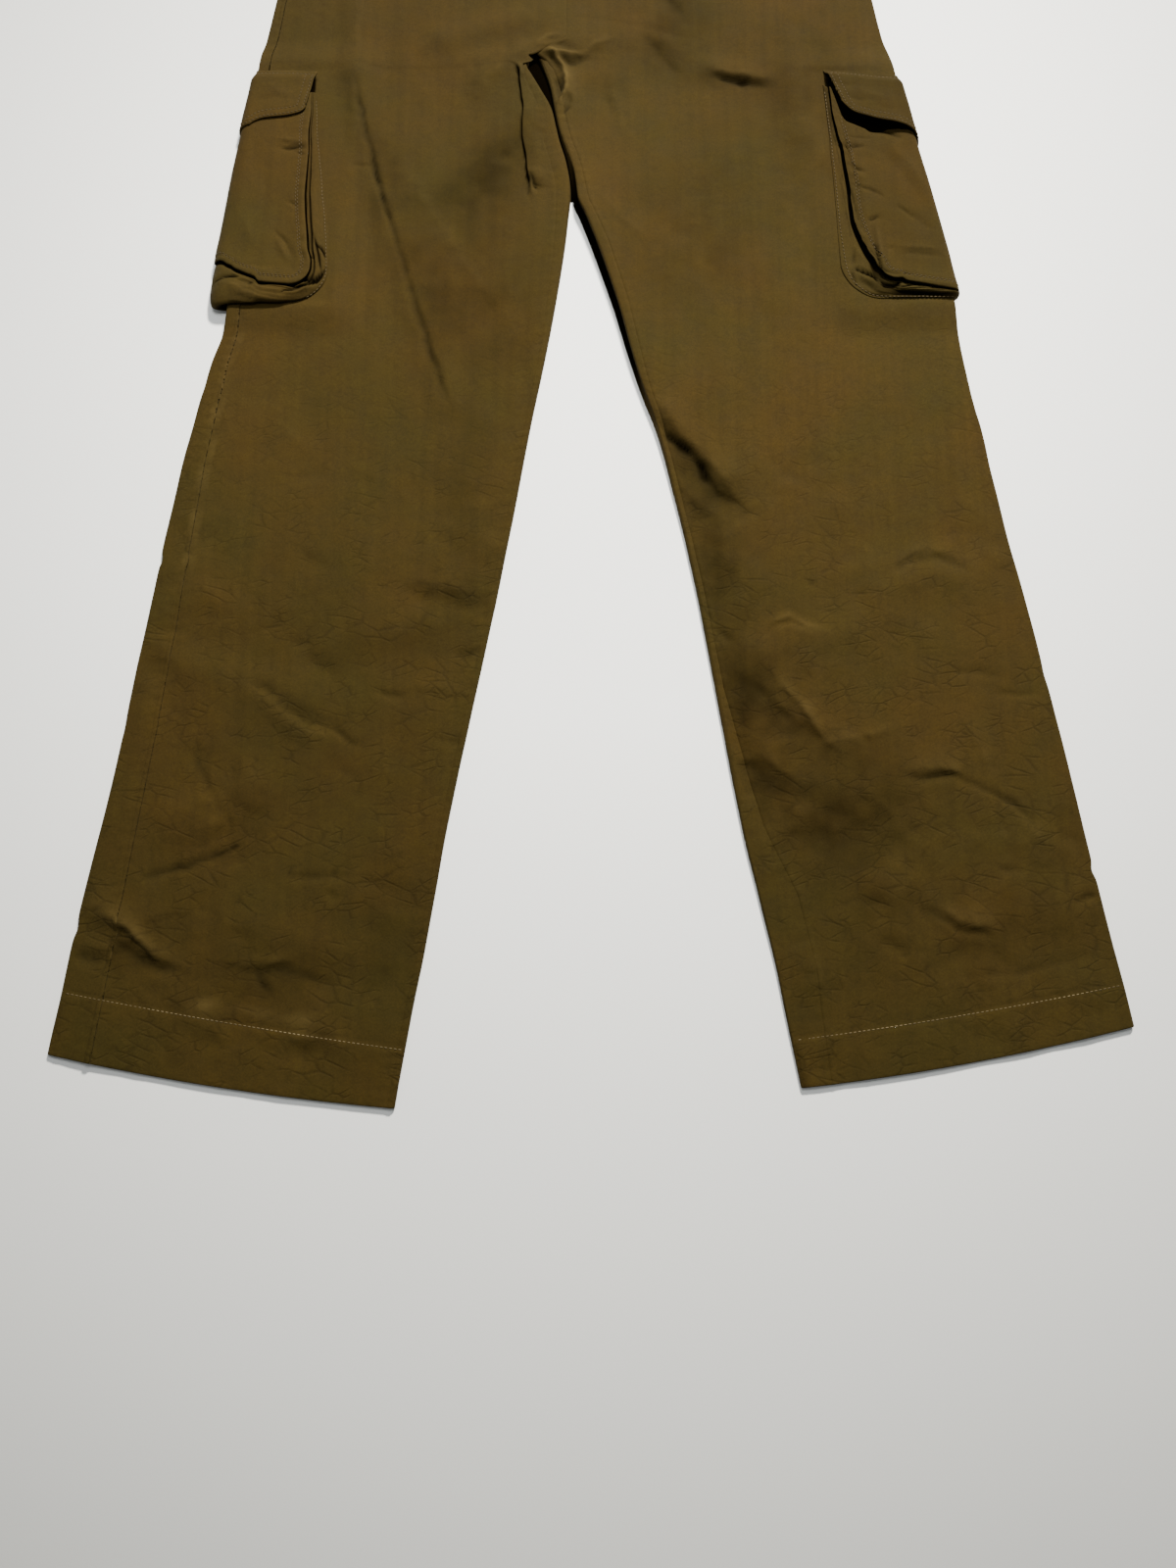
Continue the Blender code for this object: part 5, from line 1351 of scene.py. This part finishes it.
def outline(side, under, corner, top_line, low_line, rows):
    """Ways round the edge and y for a pocket's piece, with round lower corners.

    Rows lie at equal shares of the way down each column, and the corner's columns end higher.
    """
    shares = np.linspace(0, 1, rows)
    angle = np.radians(np.linspace(0, 90, CORNER_STEPS))
    inward, rise = corner * (1 - np.cos(angle)), corner * (1 - np.sin(angle))
    top, low = (float(line(on_edge(side(100.0)))) for line in (top_line, low_line))
    inner = on_edge(side(top + (low + corner - top) * shares))[:, None]
    outer = on_edge(under, -1)
    near = inner - inward
    rest = QUARTER + (near[:, -1:] - QUARTER) * np.linspace(1, 0, CROSS_STEPS)[1:-1]
    beneath = np.concatenate([
        QUARTER * np.linspace(1, -1, 15),
        -QUARTER + (outer + corner + QUARTER) * np.linspace(0, 1, 7)[1:-1],
        outer + inward[::-1],
    ])
    along = np.concatenate([near, rest, np.tile(beneath, (rows, 1))], axis=1)
    flat = np.zeros(along.shape[1] - 2 * len(angle))
    foot = low_line(along) + np.concatenate([rise, flat, rise[::-1]])
    return along, top_line(along) + (foot - top_line(along)) * shares[:, None]


def border(grid):
    """A grid's first column downwards, its last row across and its last column up again."""
    return np.concatenate([grid[:, 0], grid[-1, 1:], grid[-2::-1, -1]])


def inner_border(grid):
    """The part of the border on the top of the leg: down the inner side and along the bottom."""
    return np.concatenate([grid[:, 0], grid[-1, 1:CORNER_STEPS + CROSS_STEPS + 12]])


def face_outline(pocket, inset=0.0):
    """The face's ways round and y, or those of a line inside its edges."""
    low = level(pocket.low)
    return outline(
        lambda y: through(y, pocket.rows, "face") - inset, UNDER_FACE - inset, FACE_CORNER - inset,
        level(pocket.mouth), lambda along: low(along) + inset, FACE_ROWS)


def seam_outline(pocket):
    """The stitch line of the bellows on the leg."""
    return outline(
        lambda y: through(y, pocket.rows, "seam"), UNDER_SEAM, SEAM_CORNER,
        level(pocket.strip_top), lambda along: pocket.bottom + 0 * along, FACE_ROWS)


def flap_side(pocket, y):
    """The place of the flap's inner edge: it slants between its two ends."""
    share = (y - pocket.flap_low[-1].y) / (pocket.flap_top[-1].y - pocket.flap_low[-1].y)
    return pocket.flap_in_low + (pocket.flap_in_top - pocket.flap_in_low) * np.clip(share, 0, 1)


def flap_outline(pocket, inset=0.0):
    """The flap's ways round and y, or those of a line inside its edges."""
    low = level(pocket.flap_low)
    corner = max(pocket.flap_corner - inset, 1.0)
    return outline(
        lambda y: flap_side(pocket, y) - inset, UNDER_FLAP - inset, corner,
        level(pocket.flap_top), lambda along: low(along) + inset, FLAP_ROWS)


def rounded(inward, upward, corner):
    """The distance to two edges that meet in a round corner."""
    straight_in = np.minimum(inward, upward)
    bent = corner - np.hypot(corner - inward, corner - upward)
    return np.maximum(np.where((inward < corner) & (upward < corner), bent, straight_in), 0)


def to_edge(pocket, along, y):
    """How far in from the face's inner and lower edges a point lies."""
    inward = on_edge(through(y, pocket.rows, "face")) - along
    return rounded(inward, y - level(pocket.low)(along), FACE_CORNER)


def face_lifts(pocket, along, y, mouth):
    """How far the face's inside stands off the leg: above it, past its edge and below it."""
    nearest = to_edge(pocket, along, y)
    full = pocket.crown + (pocket.edge_lift - pocket.crown) * bell(nearest, EDGE_RIM)
    top = MOUTH_LIFT + (full - MOUTH_LIFT) * ease((mouth - y) / MOUTH_RAMP)
    if pocket.leg is RIGHT:
        top = np.maximum(top, full * 0.86)
    return top, through(y, pocket.rows, "out"), np.full_like(top, FACE_UNDER_LIFT)


def stitch_groove(distance, rows):
    """Rows of topstitching press a groove of a quarter millimetre into the cloth."""
    return -0.28 * sum(bell(distance - row, 1.0) for row in rows)


def pocket_marks(fine, distance, rows, edge_wear):
    """Crest and painted shade of a piece: worn along its edge, pressed in along its rows of
    stitches, shaded in its deep creases.
    """
    groove = sum(bell(distance - row, 0.8) for row in rows)
    return {"crest": fine + edge_wear * bell(distance, 1.3) - 0.5 * groove,
            "painted_shade": 0.85 * ease((-fine - 0.7) / 1.2)}


FACE_STITCH = (5.6, 7.2)
FLAP_STITCH = (1.8, 7.0)
HINGE_STITCH = 3.6


def face_surface(pocket, along, y, proud=0.0):
    """The face's outside at ways along the cloth and y, its creases, and the way to its edges."""
    top, out, under = face_lifts(pocket, along, y, level(pocket.mouth)(along))
    nearest = to_edge(pocket, along, y)
    flat = round_edge(pocket.leg, y, along, top, out, under)
    plan = flat[..., 0], flat[..., 1]
    fine, line = (part * ease((along - 1) / 8) for part in creased(*plan, FACE_CREASES))
    hills = 0.35 * drift(*plan, 24, 31) * ease(along / 12) * ease(nearest / 8)
    shoulder = -0.5 * bell(nearest, 1.1) + stitch_groove(nearest, FACE_STITCH)
    pucker = 0.16 * np.sin(y / 1.7 + 3 * drift(y, along, 11, 33)) * bell(nearest - 3, 4)
    lift = POCKET_CLOTH + fine + hills + shoulder + pucker
    points = round_edge(pocket.leg, y, along, top + lift + proud, out + POCKET_CLOTH + proud,
                        under + POCKET_CLOTH + proud)
    return points, line, nearest


def pocket_face(pocket):
    """The face, round the leg's edge, its rim raised on the bellows."""
    along, y = face_outline(pocket)
    grid, fine, nearest = face_surface(pocket, along, y)
    name = pocket.leg.name
    marks = pocket_marks(fine, nearest, FACE_STITCH, 0.9)
    # painted shade: the right face is drawn a little darker, where the lamp lights it more
    marks["painted_shade"] = np.maximum(marks["painted_shade"], 0.16 * (pocket.leg is RIGHT))
    piece = cloth_mesh(f"pocket_front_{name}", grid, POCKET_WALL, pocket.leg is RIGHT, **marks)
    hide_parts(f"pocket_face_{name}")
    return piece


# the bellows' section from the stitch line (share 0) to the face's edge (share 1), as heights in
# shares of the face's lift, with painted shade where it is a closed groove: down the side it lies
# flat and then pleats; along the bottom it bulges over its own stitch line
PLEAT = "step side_share side side_dark low_share low low_dark out"
LEFT_PLEATS = table(PLEAT,
    (0, 0.00, 0.00, 0.0, 0.06, 0.02, 0.0, 0.00), (1, 0.12, 0.05, 0.0, -0.07, 0.10, 0.8, 0.30),
    (2, 0.28, 0.09, 0.0, -0.14, 0.30, 0.4, 0.60), (3, 0.45, 0.16, 0.0, -0.09, 0.55, 0.0, 0.85),
    (4, 0.58, 0.32, 0.0, 0.06, 0.80, 0.0, 0.95), (5, 0.67, 0.50, 0.0, 0.25, 0.95, 0.0, 1.00),
    (6, 0.725, 0.46, 0.3, 0.45, 0.96, 0.0, 1.00), (7, 0.775, 0.05, 1.0, 0.62, 0.90, 0.0, 0.98),
    (8, 0.83, 0.48, 0.2, 0.74, 0.84, 0.0, 0.96), (9, 0.90, 0.60, 0.0, 0.84, 0.80, 0.0, 0.94),
    (10, 0.94, 0.46, 0.4, 0.92, 0.56, 0.4, 0.92), (11, 0.98, 0.06, 1.0, 0.98, 0.10, 1.0, 0.90),
    (12, 1.07, 0.40, 1.0, 1.07, 0.46, 1.0, 0.90),
)
RIGHT_PLEATS = table(PLEAT,
    (0, 0.00, 0.00, 0.0, 0.02, 0.02, 0.0, 0.00), (1, 0.14, 0.05, 0.0, 0.08, 0.14, 0.0, 0.20),
    (2, 0.30, 0.10, 0.0, 0.14, 0.12, 0.3, 0.30), (3, 0.46, 0.16, 0.0, 0.19, 0.03, 1.0, 0.32),
    (4, 0.60, 0.24, 0.0, 0.32, 0.01, 1.0, 0.34), (5, 0.72, 0.32, 0.0, 0.44, 0.03, 1.0, 0.40),
    (6, 0.79, 0.30, 0.2, 0.49, 0.36, 0.5, 0.70), (7, 0.83, 0.16, 0.9, 0.57, 0.62, 0.0, 0.95),
    (8, 0.87, 0.04, 1.0, 0.72, 0.66, 0.0, 1.00), (9, 0.93, 0.02, 1.0, 0.86, 0.56, 0.0, 0.98),
    (10, 0.98, 0.04, 1.0, 0.94, 0.40, 0.3, 0.94), (11, 1.02, 0.12, 1.0, 0.98, 0.14, 1.0, 0.90),
    (12, 1.08, 0.40, 1.0, 1.07, 0.45, 1.0, 0.90),
)
PLEAT_STEPS, FLANGE_STEP = 44, 4
flanges = {}                # two rows of each bellows' grid along its sewn edge, for its stitches


def pocket_bellows(pocket):
    """The pleated strip, its section blended from side to bottom round the corner."""
    leg = pocket.leg
    seam_along, seam_y = (border(grid) for grid in seam_outline(pocket))
    face_along, face_y = (border(grid) for grid in face_outline(pocket))
    lifts = face_lifts(pocket, face_along, face_y, level(pocket.mouth)(face_along))
    pleated = ease((np.hypot(seam_along - face_along, seam_y - face_y) - 2) / 5)
    count = np.arange(len(seam_y))
    low = ease((count - FACE_ROWS + 4) / (CORNER_STEPS + 10))
    low = low * ease((len(seam_y) - count - FACE_ROWS + 20) / 20)
    calm = ease((np.abs(seam_along) - 1) / 8) * pleated
    steps = np.linspace(0, 12, PLEAT_STEPS)[:, None]
    pleats = LEFT_PLEATS if leg is LEFT else RIGHT_PLEATS
    side_share, side, side_dark, low_share, bulge, low_dark, out = (
        through(steps, pleats, column) for column in PLEAT.split()[1:])
    plain = steps / 12
    share = plain + (side_share + (low_share - side_share) * low - plain) * pleated
    share = share + 0.018 * drift(seam_y + 2 * seam_along, 9 * steps, 13, 41) * calm
    height = plain + (side + (bulge - side) * low - plain) * pleated
    crush = 1 + 0.22 * drift(seam_y, seam_along + 14 * steps, 9, 42) * calm
    y = seam_y + (face_y - seam_y) * share
    along = seam_along + (face_along - seam_along) * share
    heights = height * crush, plain + (out - plain) * pleated, plain
    cloth = POCKET_CLOTH * np.minimum(1.0, 3 * plain)
    top, outwards, under = (
        PIECE_GAP + (lift - PIECE_GAP) * part + cloth for lift, part in zip(lifts, heights))
    flat = round_edge(leg, y, along, top, outwards, under)
    fine = creased(flat[..., 0], flat[..., 1], STRIP_CREASES)[0]
    fine = fine * ease((along + 0.5) / 3) * ease(steps / 1.5)
    top = top + np.maximum(fine, 0.15 - top)
    grid = round_edge(leg, y, along, top, outwards + 0.5 * fine, under)
    # painted shade in the closed grooves between the pleats and in the deep creases
    dark = (side_dark + (low_dark - side_dark) * low) * pleated * ease((along + 4) / 3)
    painted_shade = np.maximum(0.97 * dark, 0.95 * ease((-fine - 0.5) / 0.9))
    crest = 1.3 * (side - 0.35) * pleated + fine
    piece = cloth_mesh(
        f"pocket_pleats_{leg.name}", grid, POCKET_WALL, leg is LEFT, crest=crest, painted_shade=painted_shade)
    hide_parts(f"pocket_bellows_{leg.name}")
    stitched = slice(4, FACE_ROWS + CORNER_STEPS + CROSS_STEPS)
    flanges[leg.name] = grid[FLANGE_STEP:FLANGE_STEP + 2, stitched]
    return piece


def flap_surface(pocket, along, y, proud=0.0):
    """The flap's outside: hinged at its top, over the face, and gaping towards its lower edge."""
    leg = pocket.leg
    high, low = level(pocket.flap_top)(along), level(pocket.flap_low)(along)
    hinge = high - y
    down = np.clip(hinge / (high - low), 0, 1)
    climb = ease(hinge / FLAP_HINGE)
    gape = pocket.gape * down**1.6 * ease(along / 30 + 0.35)
    top, out, under = face_lifts(pocket, along, y, high - 14)
    inward = on_edge(flap_side(pocket, y)) - along
    distance = rounded(inward, y - low, pocket.flap_corner)
    flat = round_edge(leg, y, along, top, out, under)
    plan = flat[..., 0], flat[..., 1]
    fine = creased(*plan, FLAP_CREASES)[0] * ease(along / 6)
    fine = fine + 0.3 * drift(*plan, 17, 51) * ease(distance / 6)
    relief = fine - 0.5 * bell(distance, 1.0) + stitch_groove(distance, FLAP_STITCH)
    relief = relief + stitch_groove(hinge, (HINGE_STITCH,)) - 0.3 * bell(hinge, 0.9)
    lifts = (PIECE_GAP + (lift + FLAP_ON_FACE - PIECE_GAP) * climb + POCKET_CLOTH + extra + proud
             for lift, extra in ((top + gape, relief), (out, 0), (under, 0)))
    return round_edge(leg, y, along, *lifts), fine, distance, hinge


def pocket_flap(pocket):
    """The doubled flap: sewn on above the mouth, over the face and round the leg's edge."""
    along, y = flap_outline(pocket)
    grid, fine, distance, hinge = flap_surface(pocket, along, y)
    marks = pocket_marks(fine, distance, FLAP_STITCH, 1.2)
    marks["crest"] += 0.8 * bell(hinge, 1.2) - 0.5 * bell(hinge - HINGE_STITCH, 0.8)
    # painted shade: the right flap is drawn darker, where it leans towards the lamp
    marks["painted_shade"] = np.maximum(marks["painted_shade"], 0.26 * (pocket.leg is RIGHT))
    name = pocket.leg.name
    piece = cloth_mesh(f"pocket_lid_{name}", grid, POCKET_CLOTH, pocket.leg is RIGHT, **marks)
    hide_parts(f"pocket_flap_{name}")
    return piece


for pocket, strip_area, face_area, lid_width, lid_height, lid_area in (
        (LEFT_POCKET, 0.0138, 0.0220, 0.110, 0.066, 0.0066),
        (RIGHT_POCKET, 0.0088, 0.0200, 0.116, 0.068, 0.0073)):
    pocket_bellows(pocket)
    pocket_face(pocket)
    pocket_flap(pocket)

# ==== Waistband
# One doubled strip of twill round the waist, its ends lapped at the middle of the front, with a
# row of stitching near each edge.

BAND_HEIGHT, BAND_DEPTH, BAND_LAP = 40.0, 4.4, 17.0
BAND_WALL, BAND_PITCH = 1.6, 2.2
BAND_NARROWING, BAND_STITCH = 0.016, 3.0
WAIST_Y = 553.0


def waistband():
    """The pressed strip's section carried up in rows, narrowing a little towards the top."""
    radius = BAND_DEPTH / 2
    centre = LEFT_SECTIONS[-1].inner
    left, right = LEFT_SECTIONS[-1].outer, RIGHT_SECTIONS[-1].outer
    angles = np.radians(np.linspace(75, -75, 9))
    lap_top = BAND_DEPTH + BAND_PITCH
    lap_end = centre + BAND_LAP
    slope = np.linspace(lap_end + 3, lap_end + 17, 8)
    x = np.concatenate([
        np.linspace(centre - BAND_LAP, lap_end + 1, 16), slope,
        np.linspace(lap_end + 20, right - radius, 60), right - radius + radius * np.cos(angles),
        np.linspace(right - radius, left + radius, 80), left + radius - radius * np.cos(angles),
        np.linspace(left + radius, lap_end, 74),
    ])
    z = np.concatenate([
        np.full(16, lap_top), lap_top - BAND_PITCH * ease(np.linspace(0, 1, 8)),
        np.full(60, BAND_DEPTH),
        radius + radius * np.sin(angles), np.zeros(80), radius - radius * np.sin(angles),
        np.full(74, BAND_DEPTH),
    ])
    up = np.linspace(0, 1, 19)[:, None]
    y = PANEL_TOP + 0.5 + BAND_HEIGHT * up - 0.5 * up
    narrowing = 1 - BAND_NARROWING * up
    grid = np.stack(np.broadcast_arrays(centre + (x - centre) * narrowing, y, z), axis=-1).copy()
    dipped = dip_waist(grid.copy())
    grid = np.where((z > radius)[:, None], dipped, grid)
    edge = np.minimum(up, 1 - up) * BAND_HEIGHT
    over = (z > radius * 1.2) * 1.0
    relief = 0.16 * drift(x + 0 * up, y + 0 * x, 15, 61) + stitch_groove(edge, (BAND_STITCH,))
    relief = relief - 0.35 * bell(edge, 0.8)
    grid[..., 2] += relief * over
    crest = relief + 1.0 * bell(edge, 1.4)
    piece = cloth_mesh("waist_strip", grid, BAND_WALL, crest=crest, band=0.4)
    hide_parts("waistband")


waistband()

# ==== Fly
# A lap of twill over the zip on the right front, held by a curved double row of stitching.

FLY_WIDTH, FLY_LENGTH, FLY_CORNER = 38.0, 150.0, 26.0
FLY_STITCH = (2.0, 8.0)


def fly():
    """Columns across the lap, each ending lower towards the seam on a round corner."""
    across = np.linspace(0.25, FLY_WIDTH, 26)
    past = np.clip(across - (FLY_WIDTH - FLY_CORNER), 0, FLY_CORNER)
    rise = FLY_CORNER - np.sqrt(FLY_CORNER**2 - past**2)
    shares = np.linspace(0, 1, 60)[:, None]
    low = PANEL_TOP - FLY_LENGTH + rise
    y = low + (PANEL_TOP - 1.5 - low) * shares
    t = edges(RIGHT, y)[2] - across
    grid, crest = dressed(RIGHT, y, t, TOP)
    distance = np.minimum(FLY_WIDTH - across + 0 * y, y - low)
    shoulder = -0.4 * bell(distance, 1.0) + stitch_groove(distance, FLY_STITCH)
    grid[..., 2] += PIECE_GAP + POCKET_CLOTH + shoulder
    piece = cloth_mesh("fly_lap", dip_waist(grid), POCKET_CLOTH, crest=crest * 0.4 + shoulder)
    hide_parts("fly")


fly()

# ==== Button
# A turned urea button with a raised rim and four holes.

horn, tree, shader, where = surface_material("dark_horn")
swirl = noise(tree, where, 210.0, 4.0, 0.6)
colour = tinted(tree, swirl, (0.0035, 0.0022, 0.0012, 1), (0.014, 0.009, 0.0045, 1))
polish = scaled(tree, noise(tree, where, 1500.0), 0.25, 0.34)
scratches = bump(tree, 0.15, 0.0001, noise(tree, where, 2600.0))
feed(tree, shader, {
    "Base Color": colour, "Specular IOR Level": 0.10, "Roughness": polish, "Normal": scratches})
BUTTON_PROFILE = table("step radius height",
    (0, 0.01, 1.7), (1, 2.5, 1.72), (2, 4.8, 1.8), (3, 5.8, 2.2), (4, 6.6, 2.58), (5, 7.6, 2.5),
    (6, 8.35, 1.9), (7, 8.5, 1.2), (8, 8.1, 0.35), (9, 6.0, 0.0), (10, 0.01, 0.0),
)


def button():
    """A profile of radius and height turned round its axis, the holes dished into its middle."""
    steps = np.linspace(0, 10, 60)[:, None]
    turn = np.linspace(0, 2 * math.pi, 65)[None]
    radius = through(steps, BUTTON_PROFILE, "radius")
    height = through(steps, BUTTON_PROFILE, "height")
    x, y = radius * np.cos(turn), radius * np.sin(turn)
    holes = sum(np.exp(-(np.hypot(x - hole_x, y - hole_y) / 0.85) ** 4)
                for hole_x in (-1.5, 1.5) for hole_y in (-1.5, 1.5))
    height = height - 1.1 * holes * (steps < 4)
    middle = dip_waist(np.array([LEFT_SECTIONS[-1].inner, WAIST_Y - BAND_HEIGHT / 2]))
    base = BAND_DEPTH + BAND_PITCH + PIECE_GAP
    grid = np.stack([middle[0] + x, middle[1] + y, base + height], axis=-1)
    rows, columns = grid.shape[0], grid.shape[1] - 1
    index = np.arange(rows * columns).reshape(rows, columns)
    beside = np.roll(index, -1, axis=1)
    faces = np.stack([index[:-1], index[1:], beside[1:], beside[:-1]], axis=-1).reshape(-1, 4)
    ends = [index[0].tolist(), index[-1].tolist()[::-1]]
    mesh = bpy.data.meshes.new("waist_button")
    mesh.from_pydata((grid[:, :-1].reshape(-1, 3) * MM).tolist(), [], faces.tolist() + ends)
    piece = sewn_on(mesh, horn)
    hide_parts("button")


button()

# ==== Stitches
# Lockstitches of a slightly paler thread, and worn pale along the hems. Each is a short bowed bead
# that sinks into the cloth at both ends.

thread, tree, shader, where = surface_material("sewing_thread")
pale = add_node(tree, "Attribute", attribute_name="pale").outputs["Fac"]
pale = times(tree, pale, ramp(tree, noise(tree, where, 22.0, 3.0), 0.35, 0.65, 0.25))
colour = tinted(tree, pale, (0.033, 0.021, 0.0055, 1), (0.19, 0.145, 0.075, 1))
fluff = noise(tree, where, 1400.0, 3.0, 0.6)
colour = tinted(tree, times(tree, fluff, 0.6), colour, (0.018, 0.012, 0.003, 1))
rough = scaled(tree, fluff, 0.3, 0.5)
plies = add_node(tree, "TexWave", {"Vector": where, "Scale": 420.0, "Distortion": 2.0},
                 wave_type="BANDS", bands_direction="DIAGONAL").outputs["Fac"]
feed(tree, shader, {"Base Color": colour, "Roughness": rough, "Specular IOR Level": 0.15,
                    "Normal": bump(tree, 0.5, 0.0001, plies)})
STITCH_PITCH = 3.2
# a stitch's rings: how far along from its middle, how wide, how thick, how high over the cloth
RINGS = table("along wide thick high",
    (-1.25, 0.05, 0.05, -0.18), (-0.75, 0.36, 0.26, 0.14), (0.75, 0.36, 0.26, 0.14),
    (1.25, 0.05, 0.05, -0.18),
)
BEAD_CORNERS = 4 * len(RINGS)
Seam = namedtuple("Seam", "points normals pale")


def off(surface, pocket, along, y):
    """Points of a pocket's surface and the directions off it, towards one 0.3 mm further out."""
    points = surface(pocket, along, y)[0]
    return points, unit(surface(pocket, along, y, 0.3)[0] - points)


def facing_up(points):
    """Points of a level surface and the direction straight up off it."""
    return points, np.zeros(points.shape) + np.array([0.0, 0.0, 1.0])


def pocket_seams(pocket):
    """The face's and flap's rows inside their edges, the flap's hinge and the bellows' flange."""
    for inset in FACE_STITCH:
        along, y = (inner_border(grid)[6:] for grid in face_outline(pocket, inset))
        yield Seam(*off(face_surface, pocket, along, y), 0.05)
    for inset in FLAP_STITCH:
        along, y = (inner_border(grid)[3:] for grid in flap_outline(pocket, inset))
        yield Seam(*off(flap_surface, pocket, along, y), 0.1)
    along = np.linspace(pocket.flap_in_top - 2, 0, 60)
    y = level(pocket.flap_top)(along) - HINGE_STITCH
    yield Seam(*off(flap_surface, pocket, along, y), 0.15)
    near, far = flanges[pocket.leg.name]
    normals = np.cross(np.gradient(near, axis=0), far - near)
    normals *= np.sign(normals[:, 2:]) + (normals[:, 2:] == 0)
    yield Seam(near, unit(normals), 0.22)


HEM_STITCH_BELOW, HEM_STITCH_IN = 0.7, 1.8


def hem_seam(leg):
    """Just below the top of the turn-up, from edge to edge."""
    share = np.linspace(0, 1, 300)
    y = leg.sections[0].y + leg.band_out + (leg.band_in - leg.band_out) * share
    y = y - HEM_STITCH_BELOW
    width = edges(leg, y)[2]
    t = HEM_STITCH_IN + (width - 2 * HEM_STITCH_IN) * share
    points = dressed(leg, y, t, TOP)[0]
    return Seam(*facing_up(points), 1.0)


def fly_seam(inset):
    """Down the lap, round its corner and across to the middle seam."""
    turn = np.radians(np.linspace(0, 90, 16))
    reach = FLY_CORNER - inset
    foot = PANEL_TOP - FLY_LENGTH
    corner_across, corner_y = FLY_WIDTH - FLY_CORNER, foot + FLY_CORNER
    across = np.concatenate([np.full(60, FLY_WIDTH - inset), corner_across + reach * np.cos(turn),
                             np.linspace(corner_across, 1.0, 8)[1:]])
    y = np.concatenate([np.linspace(PANEL_TOP - 4, corner_y, 60), corner_y - reach * np.sin(turn),
                        np.full(7, foot + inset)])
    points = dressed(RIGHT, y, edges(RIGHT, y)[2] - across, TOP)[0]
    points[..., 2] += PIECE_GAP + POCKET_CLOTH - 0.25
    return Seam(*facing_up(dip_waist(points)), 0.25)


def band_seams():
    """Three millimetres inside the waistband's long edges, on the front, in three stretches."""
    centre = LEFT_SECTIONS[-1].inner
    lap_top = BAND_DEPTH + BAND_PITCH
    stretches = (
        (LEFT_SECTIONS[-1].outer + 4, centre - BAND_LAP - 2, BAND_DEPTH),
        (centre - BAND_LAP + 2, centre + BAND_LAP, lap_top),
        (centre + BAND_LAP + 21, RIGHT_SECTIONS[-1].outer - 4, BAND_DEPTH),
    )
    for start, end, height in stretches:
        for share in (BAND_STITCH / BAND_HEIGHT, 1 - BAND_STITCH / BAND_HEIGHT):
            x = centre + (np.linspace(start, end, 120) - centre) * (1 - BAND_NARROWING * share)
            y = PANEL_TOP + 0.5 + (BAND_HEIGHT - 0.5) * share
            points = np.stack([x, y + 0 * x, height - 0.2 + 0 * x], axis=-1)
            yield Seam(*facing_up(dip_waist(points)), 0.25)


def beads(seam):
    """Corners of the stitches along a seam: each ring is a diamond across the way it runs.

    Their middles lie STITCH_PITCH apart along the seam's length, and each ring is at its own
    distance from the middle, on the seam's own bend.
    """
    length = way_along(seam.points)
    middles = np.arange(STITCH_PITCH, length[-1] - STITCH_PITCH / 2, STITCH_PITCH)
    along, wide, thick, high = (np.array(column) for column in zip(*RINGS))
    places = middles[:, None] + along
    point, normal, ahead = (
        np.stack([np.interp(places + step, length, values[:, axis]) for axis in range(3)], axis=-1)
        for values, step in ((seam.points, 0), (seam.normals, 0), (seam.points, 0.4)))
    side = np.cross(unit(ahead - point), normal)
    centre = point + normal * high[:, None]
    ring = [centre + side * wide[:, None], centre + normal * thick[:, None],
            centre - side * wide[:, None], centre - normal * thick[:, None]]
    return np.stack(ring, axis=2).reshape(-1, BEAD_CORNERS, 3)


def stitching(name, seams):
    """The stitches of several seams as one piece: rings joined by their sides, and closed ends."""
    corners = [beads(seam) for seam in seams]
    paleness = np.concatenate([
        np.full(len(part) * BEAD_CORNERS, seam.pale) for part, seam in zip(corners, seams)])
    corners = np.concatenate(corners)
    sides = [(4 * j + k, 4 * j + 4 + k, 4 * j + 4 + (k + 1) % 4, 4 * j + (k + 1) % 4)
             for j in range(3) for k in range(4)]
    bead = np.array(sides + [(0, 1, 2, 3), (15, 14, 13, 12)])
    faces = (np.arange(len(corners))[:, None, None] * BEAD_CORNERS + bead).reshape(-1, 4)
    mesh = bpy.data.meshes.new(name)
    mesh.from_pydata((corners.reshape(-1, 3) * MM).tolist(), [], faces.tolist())
    add_mark(mesh, "pale", paleness)
    sewn_on(mesh, thread)


stitching("hem_stitches", [hem_seam(LEFT), hem_seam(RIGHT)])
for pocket in (LEFT_POCKET, RIGHT_POCKET):
    stitching(f"pocket_stitches_{pocket.leg.name}", list(pocket_seams(pocket)))
stitching("waist_stitches", [*map(fly_seam, FLY_STITCH), *band_seams()])
